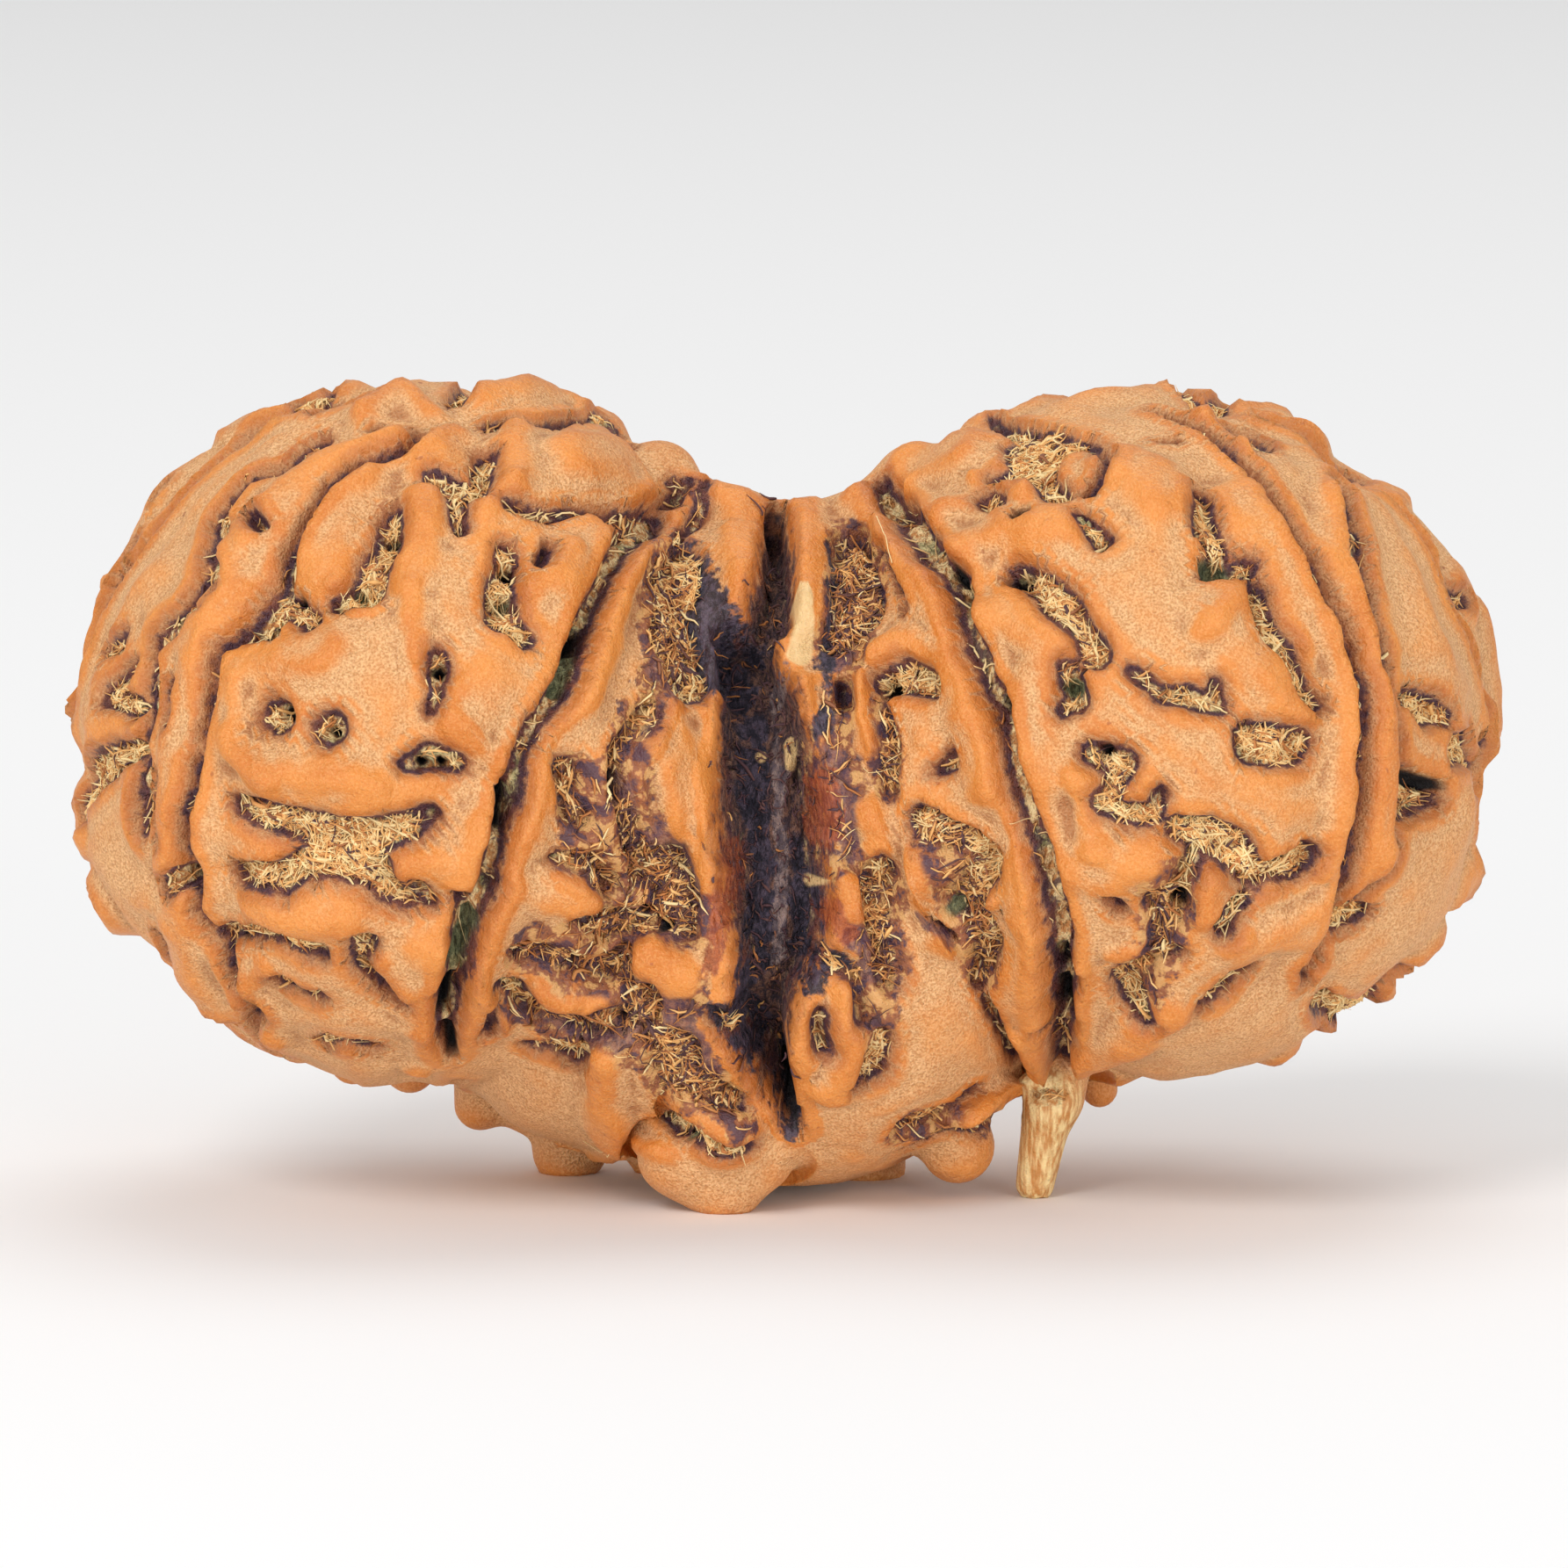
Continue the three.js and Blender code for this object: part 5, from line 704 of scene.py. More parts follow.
def taper_distance(points, start, end, half_start, half_end):
    """Distance to a tapered segment's surface."""
    run = end - start
    length = run @ run
    along = np.clip((points - start) @ run / length, 0, 1) if length > 0 else np.zeros(len(points))
    apart = np.linalg.norm(points - start - along[:, None] * run, axis=1)
    return apart - half_start - (half_end - half_start) * along


def masses(points):
    """Signed distance to the big forms alone."""
    field = None
    for middle, radii in MASSES:
        scaled = (points - middle) / radii
        reach = np.linalg.norm(scaled, axis=1)
        slope = np.linalg.norm(scaled / radii, axis=1)
        mass = reach * (reach - 1) / np.maximum(slope, 1e-9)
        field = mass if field is None else blended(field, mass, MASS_BLEND)
    return field


def body(points):
    """Signed distance to the plain body, without its relief."""
    field = masses(points)
    for start, end, half, blend in LUMPS:
        lump = taper_distance(points, np.array(start), np.array(end), half[0], half[1])
        field = blended(field, lump, blend)
    return field


def slope_of(points, step=0.02):
    slope = np.empty_like(points)
    for axis in range(3):
        shift = np.zeros(3)
        shift[axis] = step
        slope[:, axis] = (body(points + shift) - body(points - shift)) / (2 * step)
    return slope


def onto_body(points, turns=8):
    """Moves points onto the plain body by the shortest way."""
    moved = points.copy()
    for _ in range(turns):
        slope = slope_of(moved)
        steepness = np.maximum((slope * slope).sum(1), 0.05)
        moved -= slope * (body(moved) / steepness)[:, None]
    return moved


def seen_points(across_up, sight_up=SIGHT_UP, sight_in=SIGHT_IN):
    """The places on the body that someone sees, or the rim nearest to each."""
    across_up = np.array(across_up, float)
    points = np.outer(across_up[:, 0], (1, 0, 0)) + np.outer(across_up[:, 1], sight_up)
    points -= SIGHT_START * sight_in
    nearest = points.copy()
    least = np.full(len(points), np.inf)
    travelled = np.zeros(len(points))
    while True:
        gap = body(points)
        closer = gap < least
        least[closer] = gap[closer]
        nearest[closer] = points[closer]
        moving = (gap >= SIGHT_TOUCH) & (travelled < SIGHT_LENGTH)
        if not moving.any():
            break
        stride = np.where(moving, np.maximum(gap * 0.8, SIGHT_STRIDE), 0)
        travelled += stride
        points += stride[:, None] * sight_in
    return np.where((least < SIGHT_TOUCH)[:, None], nearest, onto_body(nearest))


class Stroke:
    """A path on the body with a half-width at each point, and a sphere that holds it."""

    def __init__(self, points, halves, size):
        self.points = np.array(points)
        self.halves = np.array(halves)
        self.size = size
        self.middle = (self.points.min(0) + self.points.max(0)) / 2
        self.reach = (np.linalg.norm(self.points - self.middle, axis=1) + self.halves).max()

    def distance(self, points):
        least = np.full(len(points), np.inf)
        for first in range(max(len(self.points) - 1, 1)):
            last = min(first + 1, len(self.points) - 1)
            near = taper_distance(
                points, self.points[first], self.points[last], self.halves[first], self.halves[last]
            )
            least = np.minimum(least, near)
        return least

    def is_near(self, points, gap):
        apart = np.linalg.norm(points - self.middle, axis=1).min()
        return apart < self.reach + gap and self.distance(points).min() <= gap


def seen_strokes(paths, sight_up=SIGHT_UP, sight_in=SIGHT_IN):
    """Strokes from (size, path) pairs that are drawn as seen."""
    spots = seen_points([point[:2] for _, path in paths for point in path], sight_up, sight_in)
    strokes = []
    used = 0
    for size, path in paths:
        strokes.append(Stroke(spots[used:used + len(path)], [point[2] for point in path], size))
        used += len(path)
    return strokes


def polar_points(across, turn, tilt):
    """Places on the body at a turn from the front and a tilt from the top, about upright axes."""
    level = np.sin(tilt)
    way = np.stack([np.sin(turn) * level, -np.cos(turn) * level, np.cos(tilt)], axis=-1)
    middle = np.stack([across, np.zeros_like(across), np.full_like(across, STONE_RISE)], axis=-1)
    return onto_body(middle + way * STONE_RADIUS)


def back_clefts():
    """The clefts that run from top to bottom behind, and last the valley there."""
    clefts = []
    tilt = BACK_CLEFT_TILTS
    for stone in (-1, 1):
        for order, degrees in enumerate(BACK_CLEFT_TURNS):
            sway = 0.1 * np.sin(3.1 * tilt + 2.3 * order + stone) + 0.04 * np.sin(9.7 * tilt + order)
            turn = math.radians(stone * degrees) + sway
            points = polar_points(np.full_like(tilt, stone * STONE_APART), turn, tilt)
            halves = BACK_CLEFT_HALF + BACK_CLEFT_SWELL * np.sin(1.7 * np.arange(len(tilt)) + order)
            clefts.append(Stroke(points, halves, BACK_CLEFT_DEPTH))
    return clefts + seen_strokes([BACK_VALLEY], np.array([0, 0, 1]), np.array([0, -1, 0]))


def plain_random(count, seed):
    """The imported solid's own random numbers, from 0 to 1."""
    state = seed
    numbers = []
    for _ in range(count):
        state = (state * 1664525 + 1013904223) % 4294967296
        numbers.append(state / 4294967296)
    return np.array(numbers)


def back_strokes(clefts):
    """Short crooked pits and ridges over the side that isn't seen from the front."""
    draws = plain_random(BACK_STROKE_TRIES * BACK_STROKE_DRAWS, BACK_SEED).reshape(-1, BACK_STROKE_DRAWS)
    across = (draws[:, 0] * 2 - 1) * STONE_APART * BACK_STROKE_SPREAD
    points = [polar_points(across, draws[:, 1] * 2 * math.pi, np.arccos(1 - 2 * draws[:, 2]))]
    heading = draws[:, 3] * 2 * math.pi
    bend = (draws[:, 4] - 0.5) * BACK_STROKE_BEND
    counts = 2 + np.floor(draws[:, 5] * BACK_STROKE_STEPS).astype(int)
    halves = BACK_STROKE_HALF + BACK_STROKE_SWELL * draws[:, 6]
    normal = unit(slope_of(points[0]))
    side = unit(np.cross((0, 0, 1), normal))
    rise = np.cross(normal, side)
    for step in range(BACK_STROKE_STEPS):
        way = (heading + bend * step)[:, None]
        points.append(onto_body(points[-1] + (side * np.cos(way) + rise * np.sin(way)) * BACK_STROKE_STEP))
    facing = [unit(slope_of(spots)) @ SIGHT_IN for spots in points]
    kept = []
    for attempt, count in enumerate(counts):
        path = np.array([spots[attempt] for spots in points[:count]])
        hidden = all(spots[attempt] > BACK_EDGE for spots in facing[:count])
        if not hidden or path[:, 2].min() < FLOOR_Z + BACK_FLOOR_GAP:
            continue
        half = halves[attempt]
        gaps = [(stroke, half + BACK_STROKE_GAP) for stroke in kept]
        gaps += [(stroke, half + BACK_STROKE_GAP * 0.6) for stroke in clefts]
        if any(stroke.is_near(path, gap) for stroke, gap in gaps):
            continue
        is_pit = draws[attempt, 7] < BACK_PIT_SHARE
        size = BACK_PIT_DEPTH * (1 + half) if is_pit else BACK_RIDGE_HEIGHT
        stroke = Stroke(path, np.full(count, half * (1 if is_pit else BACK_RIDGE_WIDENING)), size)
        stroke.is_pit = is_pit
        kept.append(stroke)
    return kept


def nearest_edges(points, strokes, reach):
    """Distance to the nearest stroke's edge, and how far the strokes reach in, each by its size."""
    nearest = np.full(len(points), float(reach))
    deepest = np.zeros(len(points))
    for stroke in strokes:
        near = np.nonzero(np.linalg.norm(points - stroke.middle, axis=1) < stroke.reach + reach)[0]
        if len(near) == 0:
            continue
        aside = stroke.distance(points[near])
        nearest[near] = np.minimum(nearest[near], aside)
        deepest[near] = np.maximum(deepest[near], stroke.size * smooth((WALL - aside) / (2 * WALL)))
    return nearest, deepest


def highest_ridge(points, strokes, soft):
    raised = np.zeros(len(points))
    for stroke in strokes:
        near = np.nonzero(np.linalg.norm(points - stroke.middle, axis=1) < stroke.reach + soft)[0]
        if len(near) == 0:
            continue
        aside = stroke.distance(points[near])
        raised[near] = np.maximum(raised[near], stroke.size * smooth(1 - (aside + 0.5 * soft) / soft))
    return raised


class Relief:
    """The relief's height over the body, and what a colour needs to know about each place."""

    def __init__(self):
        seen = seen_strokes(CLEFTS)
        back = back_clefts()
        packed = [Stroke(cleft.points, np.maximum(cleft.halves, PACKED_HALF), cleft.size) for cleft in seen]
        scattered = back_strokes(packed + back)
        self.valleys = seen[-2:] + back[-1:]
        self.clefts = seen[:-2] + back[:-1]
        self.pits = seen_strokes(PITS) + [stroke for stroke in scattered if stroke.is_pit]
        self.fine_pits = seen_strokes(FINE_PITS)
        self.ridges = seen_strokes(RIDGES) + [stroke for stroke in scattered if not stroke.is_pit]
        self.fine_ridges = seen_strokes(FINE_RIDGES)
        self.dark_holes = seen_strokes([(HOLE_DEPTH, path) for path in DARK_HOLES])
        self.green_holes = seen_strokes([(HOLE_DEPTH * 0.5, path) for path in GREEN_HOLES])
        self.stains = {name: seen_strokes([(0, path) for path in paths]) for name, paths in STAINS.items()}

    def at(self, points):
        wander = sum(
            reach * np.stack([noise(points, size, seed + axis) for axis in range(3)], axis=-1)
            for seed, (size, reach) in enumerate(EDGE_WANDER, start=WANDER_SEED)
        )
        walked = points + wander
        cleft, cleft_depth = nearest_edges(walked, self.clefts, SEGMENT_REACH)
        valley, valley_depth = nearest_edges(walked, self.valleys, SEGMENT_REACH)
        pit, pit_depth = nearest_edges(walked, self.pits, PLATE_REACH)
        fine_pit, fine_pit_depth = nearest_edges(walked, self.fine_pits, LIP_REACH)
        dark_hole, dark_hole_depth = nearest_edges(points, self.dark_holes, LIP_REACH)
        green_hole, green_hole_depth = nearest_edges(points, self.green_holes, LIP_REACH)
        sunk = np.maximum.reduce([
            cleft_depth * CLEFT_LEFT_OPEN, valley_depth, pit_depth * PIT_LEFT_OPEN, fine_pit_depth,
        ])
        opened = np.minimum(np.minimum(cleft, pit), np.minimum(valley, fine_pit))
        ridge = highest_ridge(walked, self.ridges, RIDGE_EDGE)
        fine_ridge = highest_ridge(walked, self.fine_ridges, FINE_RIDGE_EDGE)
        on_masses = 1 - smooth(masses(points) / LUMP_CLEARANCE)
        segment = SEGMENT_RISE * smooth(np.minimum(cleft, valley) / SEGMENT_REACH)
        plate = PLATE_RISE * smooth(pit / PLATE_REACH)
        lip = LIP_RISE * smooth(opened / LIP_START) * smooth(1 - opened / LIP_REACH)
        lip += CLEFT_LIP_RISE * smooth(cleft / CLEFT_LIP_START) * smooth(1 - cleft / CLEFT_LIP_REACH)
        waves = layered_noise(points, WAVES, WAVE_SEED)
        rough = layered_noise(points, FLOOR_ROUGHNESS, ROUGHNESS_SEED)
        in_hollow = smooth(-opened / HOLLOW_EDGE)
        height = (segment + plate + lip + waves) * on_masses + ridge + fine_ridge * (1 - in_hollow * 0.3)
        height += rough * in_hollow - sunk - dark_hole_depth - green_hole_depth
        stains = {
            name: nearest_edges(walked, strokes, STAIN_REACH)[0] for name, strokes in self.stains.items()
        }
        return {
            **stains,
            "height": height,
            "opened": opened,
            "pit": np.minimum(pit, fine_pit),
            "cleft": cleft,
            "valley": valley,
            "dark_hole": dark_hole,
            "green_hole": green_hole,
            "ridge": np.maximum(ridge / HIGH_RIDGE, fine_ridge / HIGH_FINE_RIDGE),
        }


def mesh_field(field, low, high, step):
    """Even quads over the zero surface of a field inside a box, one vertex for each cell that it crosses."""
    low = np.array(low, float)
    counts = np.ceil((np.array(high) - low) / step).astype(int) + 1
    lines = [low[axis] + step * np.arange(counts[axis]) for axis in range(3)]
    values = np.empty(counts)
    across = np.stack(np.meshgrid(lines[0], lines[1], indexing="ij"), axis=-1).reshape(-1, 2)
    for layer, height in enumerate(lines[2]):
        points = np.column_stack([across, np.full(len(across), height)])
        values[:, :, layer] = field(points).reshape(counts[0], counts[1])
    inside = values < 0
    corners = sum(
        inside[i:counts[0] - 1 + i, j:counts[1] - 1 + j, k:counts[2] - 1 + k].astype(int)
        for i, j, k in np.ndindex(2, 2, 2)
    )
    crossed = (corners > 0) & (corners < 8)
    cells = np.argwhere(crossed)
    index = np.full(crossed.shape, -1)
    index[crossed] = np.arange(len(cells))
    total = np.zeros((len(cells), 3))
    hits = np.zeros(len(cells))
    for axis in range(3):
        along = np.eye(3, dtype=int)[axis]
        sides = [np.eye(3, dtype=int)[other] for other in range(3) if other != axis]
        for i, j in np.ndindex(2, 2):
            start = cells + sides[0] * i + sides[1] * j
            near = values[tuple(start.T)]
            far = values[tuple((start + along).T)]
            crosses = (near < 0) != (far < 0)
            share = np.where(crosses, near / np.where(crosses, near - far, 1), 0)
            total += crosses[:, None] * (start + share[:, None] * along)
            hits += crosses
    vertices = low + step * total / hits[:, None]
    quads = []
    for axis in range(3):
        along, left, back = (np.eye(3, dtype=int)[(axis + turn) % 3] for turn in range(3))
        starts = np.argwhere(crossed)
        inner = (starts @ (left + back) > 0) & (starts @ left > 0) & (starts @ back > 0)
        starts = starts[inner]
        near = inside[tuple(starts.T)]
        far = inside[tuple((starts + along).T)]
        starts = starts[near != far]
        near = near[near != far]
        ring = [starts, starts - left, starts - left - back, starts - back]
        ring = np.stack([index[tuple(corner.T)] for corner in ring], axis=-1)
        quads.append(np.where(near[:, None], ring, ring[:, ::-1]))
    return vertices, np.concatenate(quads)


def neighbour_mean(values, quads):
    """The mean of each vertex's neighbours along the quads' sides."""
    total = np.zeros_like(values)
    hits = np.zeros(len(values))
    for corner in range(4):
        for other in (quads[:, (corner + 1) % 4], quads[:, (corner - 1) % 4]):
            np.add.at(total, quads[:, corner], values[other])
            np.add.at(hits, quads[:, corner], 1)
    return total / hits.reshape(-1, *[1] * (values.ndim - 1))


def make_stone(relief):
    """The fine surface: vertices, quads, and each vertex's place on the plain body and relief facts."""
    plain, quads = mesh_field(body, GRID_LOW, GRID_HIGH, GRID_STEP)
    plain = onto_body(plain, 3)
    for _ in range(RELAX_TURNS):
        plain = onto_body(neighbour_mean(plain, quads), 2)
    normals = unit(slope_of(plain))
    facts = relief.at(plain)
    vertices = plain + normals * facts["height"][:, None]
    vertices[:, 2] = np.where(vertices[:, 2] < FLOOR_Z + FLAT_CATCH, FLOOR_Z, vertices[:, 2])
    bulge = ((vertices - neighbour_mean(vertices, quads)) * normals).sum(1) / GRID_STEP
    for _ in range(BULGE_SPREAD):
        bulge = neighbour_mean(bulge, quads)
    facts["bulge"] = bulge
    start, end, half, _ = LUMPS[SPLINTER_LUMP]
    facts["splinter"] = taper_distance(plain, np.array(start), np.array(end), half[0], half[1])
    return vertices, quads, plain, facts


def make_piece(name, vertices, faces, facts, material):
    """A smooth mesh object in metres, with a number at each vertex for each fact."""
    mesh = bpy.data.meshes.new(name)
    mesh.from_pydata((vertices * MM).tolist(), [], faces.tolist())
    for fact, values in facts.items():
        layer = mesh.attributes.new(fact, "FLOAT", "POINT")
        layer.data.foreach_set("value", values.astype(np.float32))
    mesh.shade_smooth()
    mesh.materials.append(material)
    piece = bpy.data.objects.new(name, mesh)
    bpy.context.scene.collection.objects.link(piece)
    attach(piece, "root")
    return piece


def strand_tubes(lines, radii):
    """Thin three-sided tubes along lines of points, with a radius for each point."""
    strands, steps, _ = lines.shape
    run = unit(np.gradient(lines, axis=1))
    side = unit(np.cross(run, (0.31, 0.17, 0.94)))
    rise = np.cross(run, side)
    turns = np.arange(3) * 2 * math.pi / 3
    ring = side[:, :, None] * np.cos(turns)[:, None] + rise[:, :, None] * np.sin(turns)[:, None]
    vertices = (lines[:, :, None] + ring * radii[:, :, None, None]).reshape(-1, 3)
    first = np.arange(strands)[:, None, None] * steps * 3
    step = np.arange(steps - 1)[:, None] * 3
    corner = np.arange(3)
    after = (corner + 1) % 3
    base = first + step
    faces = np.stack([base + corner, base + after, base + after + 3, base + corner + 3], axis=-1)
    return vertices, faces.reshape(-1, 4)


def grow_fibres(name, wanted, length, lift, tints, weight, stone, relief, seed, material):
    """Dry fibres that lie in the hollows, each rooted at a vertex and ending in the wall or in the air."""
    _, _, plain, facts = stone
    random = np.random.default_rng(seed)
    count = FIBRE_TRIES * wanted
    roots = random.choice(len(plain), size=count, p=weight / weight.sum())
    start = plain[roots] + random.normal(0, ROOT_SPREAD, (count, 3))
    normal = unit(slope_of(start))
    way = unit(np.cross(normal, random.normal(size=(count, 3))))
    side = np.cross(normal, way)
    reach = length * np.exp(random.normal(0, LENGTH_SPREAD, count))
    bend = reach * random.normal(0, BEND_SPREAD, count)
    arch = np.abs(random.normal(0, lift, count))
    tip = np.where(random.random(count) < STANDING_SHARE, np.abs(random.normal(0, 3 * lift, count)), 0)
    along = np.linspace(0, 1, FIBRE_POINTS)
    spots = start[:, None] + way[:, None] * (reach[:, None] * (along - 0.5))[:, :, None]
    spots += side[:, None] * (bend[:, None] * along * along)[:, :, None]
    spots = onto_body(spots.reshape(-1, 3), 3)
    outward = unit(slope_of(spots))
    there = relief.at(spots)
    middle = facts["height"][roots][:, None]
    height = np.clip(there["height"].reshape(count, FIBRE_POINTS), middle - MOST_DROP, middle + MOST_RISE)
    height += FIBRE_CLEARANCE + arch[:, None] * np.sin(math.pi * along) + tip[:, None] * along * along
    lines = (spots + outward * height.reshape(-1, 1)).reshape(count, FIBRE_POINTS, 3)
    lines += random.normal(0, FIBRE_CRIMP, lines.shape)
    thickness = FIBRE_RADIUS * np.exp(random.normal(0, THICKNESS_SPREAD, count))
    radii = thickness[:, None] * (1 - 0.8 * np.abs(2 * along - 0.8) ** 2 / 1.44)

    # A fibre is kept where it stays in its hollow or on a flank, and now and then where it strays
    in_hollow = there["opened"].reshape(count, FIBRE_POINTS).max(1) < FIBRE_CLEARANCE
    on_flank = there["flank"].reshape(count, FIBRE_POINTS).max(1) < 0
    strays = random.random(count) < STRAY_SHARE
    kept = np.nonzero(in_hollow | on_flank | strays)[0][:wanted]
    vertices, faces = strand_tubes(lines[kept], radii[kept])
    stained = FIBRE_STAIN * smooth(-facts["flank"][roots[kept]] / 0.3)
    tint = np.clip(random.normal(*tints, len(kept)) + stained, 0, 1)
    return make_piece(name, vertices, faces, {"tint": np.repeat(tint, FIBRE_POINTS * 3)}, material)


def fibre_weights(plain, facts):
    """How likely a fibre of each bed is to be rooted at each vertex."""
    front = unit(slope_of(plain)) @ -SIGHT_IN > -0.1
    left = plain[:, 0] < 0
    flank = smooth(-facts["flank"] / 0.2)
    hollow = smooth((-facts["pit"] - 0.08) / 0.12) + 0.12 * smooth(1 - np.abs(facts["cleft"] + 0.08) / 0.1)
    hollow += 0.12 * flank * (facts["ridge"] < 0.2)
    hollow *= (facts["valley"] > 0) & (facts["dark_hole"] > 0.08) & (facts["green_hole"] > 0.05)
    hollow *= 1 - 0.5 * flank
    joined = 0.25 * smooth(-facts["valley"] / 0.2) + smooth(1 - np.abs(facts["valley"]) / 0.3)
    return {
        "left_fibres": hollow * front * left,
        "right_fibres": hollow * front * ~left,
        "valley_fibres": joined * front,
        "back_fibres": hollow * ~front,
        "back_valley_fibres": joined * ~front,
    }


def lay_hairs(name, relief, material):
    """Loose hairs that lie on the stone along listed lines."""
    lines = []
    for path in LOOSE_HAIRS:
        ends = seen_points(path)
        share = np.linspace(0, len(ends) - 1, HAIR_POINTS)
        line = np.stack([np.interp(share, np.arange(len(ends)), ends[:, axis]) for axis in range(3)], axis=-1)
        line = onto_body(line, 4)
        height = relief.at(line)["height"]
        height = np.maximum(height, np.convolve(np.pad(height, 2, "edge"), np.ones(5) / 5, "valid")) + 0.05
        lines.append(line + unit(slope_of(line)) * height[:, None])
    lines = np.array(lines)
    radii = np.full(lines.shape[:2], HAIR_RADIUS)
    vertices, faces = strand_tubes(lines, radii)
    return make_piece(name, vertices, faces, {"tint": np.zeros(len(vertices))}, material)


def srgb(red, green, blue):
    """A picture colour, 0 to 255, as the renderer's own."""
    parts = np.array([red, green, blue]) / 255
    light = np.where(parts <= 0.04045, parts / 12.92, ((parts + 0.055) / 1.055) ** 2.4)
    return (*light.tolist(), 1.0)


class Shader:
    """A material under construction. Sizes of patterns are in millimetres."""

    def __init__(self, name):
        self.material = bpy.data.materials.new(name)
        self.material.use_nodes = True
        self.tree = self.material.node_tree
        self.surface = self.tree.nodes["Principled BSDF"]
        self.place = self.tree.nodes.new("ShaderNodeTexCoord").outputs["Object"]

    def node(self, kind, inputs, **settings):
        made = self.tree.nodes.new(kind)
        for setting, value in settings.items():
            setattr(made, setting, value)
        for key, value in inputs.items():
            if isinstance(value, bpy.types.NodeSocket):
                self.tree.links.new(value, made.inputs[key])
            else:
                made.inputs[key].default_value = value
        return made

    def fact(self, name):
        return self.node("ShaderNodeAttribute", {}, attribute_name=name).outputs["Fac"]

    def noise(self, size, detail=2.0, stretch=(1, 1, 1), roughness=0.5):
        place = self.node("ShaderNodeVectorMath", {0: self.place, 1: stretch}, operation="MULTIPLY")
        inputs = {"Vector": place.outputs[0], "Scale": 1 / (size * MM), "Detail": detail}
        inputs["Roughness"] = roughness
        return self.node("ShaderNodeTexNoise", inputs).outputs["Fac"]

    def maths(self, operation, first, second=0.0):
        return self.node("ShaderNodeMath", {0: first, 1: second}, operation=operation).outputs[0]

    def ramp(self, value, low, high, start=0.0, end=1.0):
        inputs = {"Value": value, "From Min": low, "From Max": high, "To Min": start, "To Max": end}
        return self.node("ShaderNodeMapRange", inputs, interpolation_type="SMOOTHSTEP").outputs["Result"]

    def mix(self, share, first, second):
        made = self.node("ShaderNodeMix", {0: share, 6: first, 7: second}, data_type="RGBA")
        return made.outputs[2]

    def tone(self, share, name):
        dark, light = TONES[name]
        return self.mix(share, srgb(*dark), srgb(*light))

    def wandering(self, fact, jag, reach):
        """A fact whose edges wander this far, in millimetres."""
        return self.maths("ADD", self.fact(fact), self.maths("MULTIPLY", jag, reach))

    def bump(self, height, distance, below=None):
        inputs = {"Height": height, "Distance": distance * MM, "Strength": 1.0}
        if below is not None:
            inputs["Normal"] = below
        return self.node("ShaderNodeBump", inputs).outputs["Normal"]

    def put(self, name, value):
        if isinstance(value, bpy.types.NodeSocket):
            self.tree.links.new(value, self.surface.inputs[name])
        else:
            self.surface.inputs[name].default_value = value


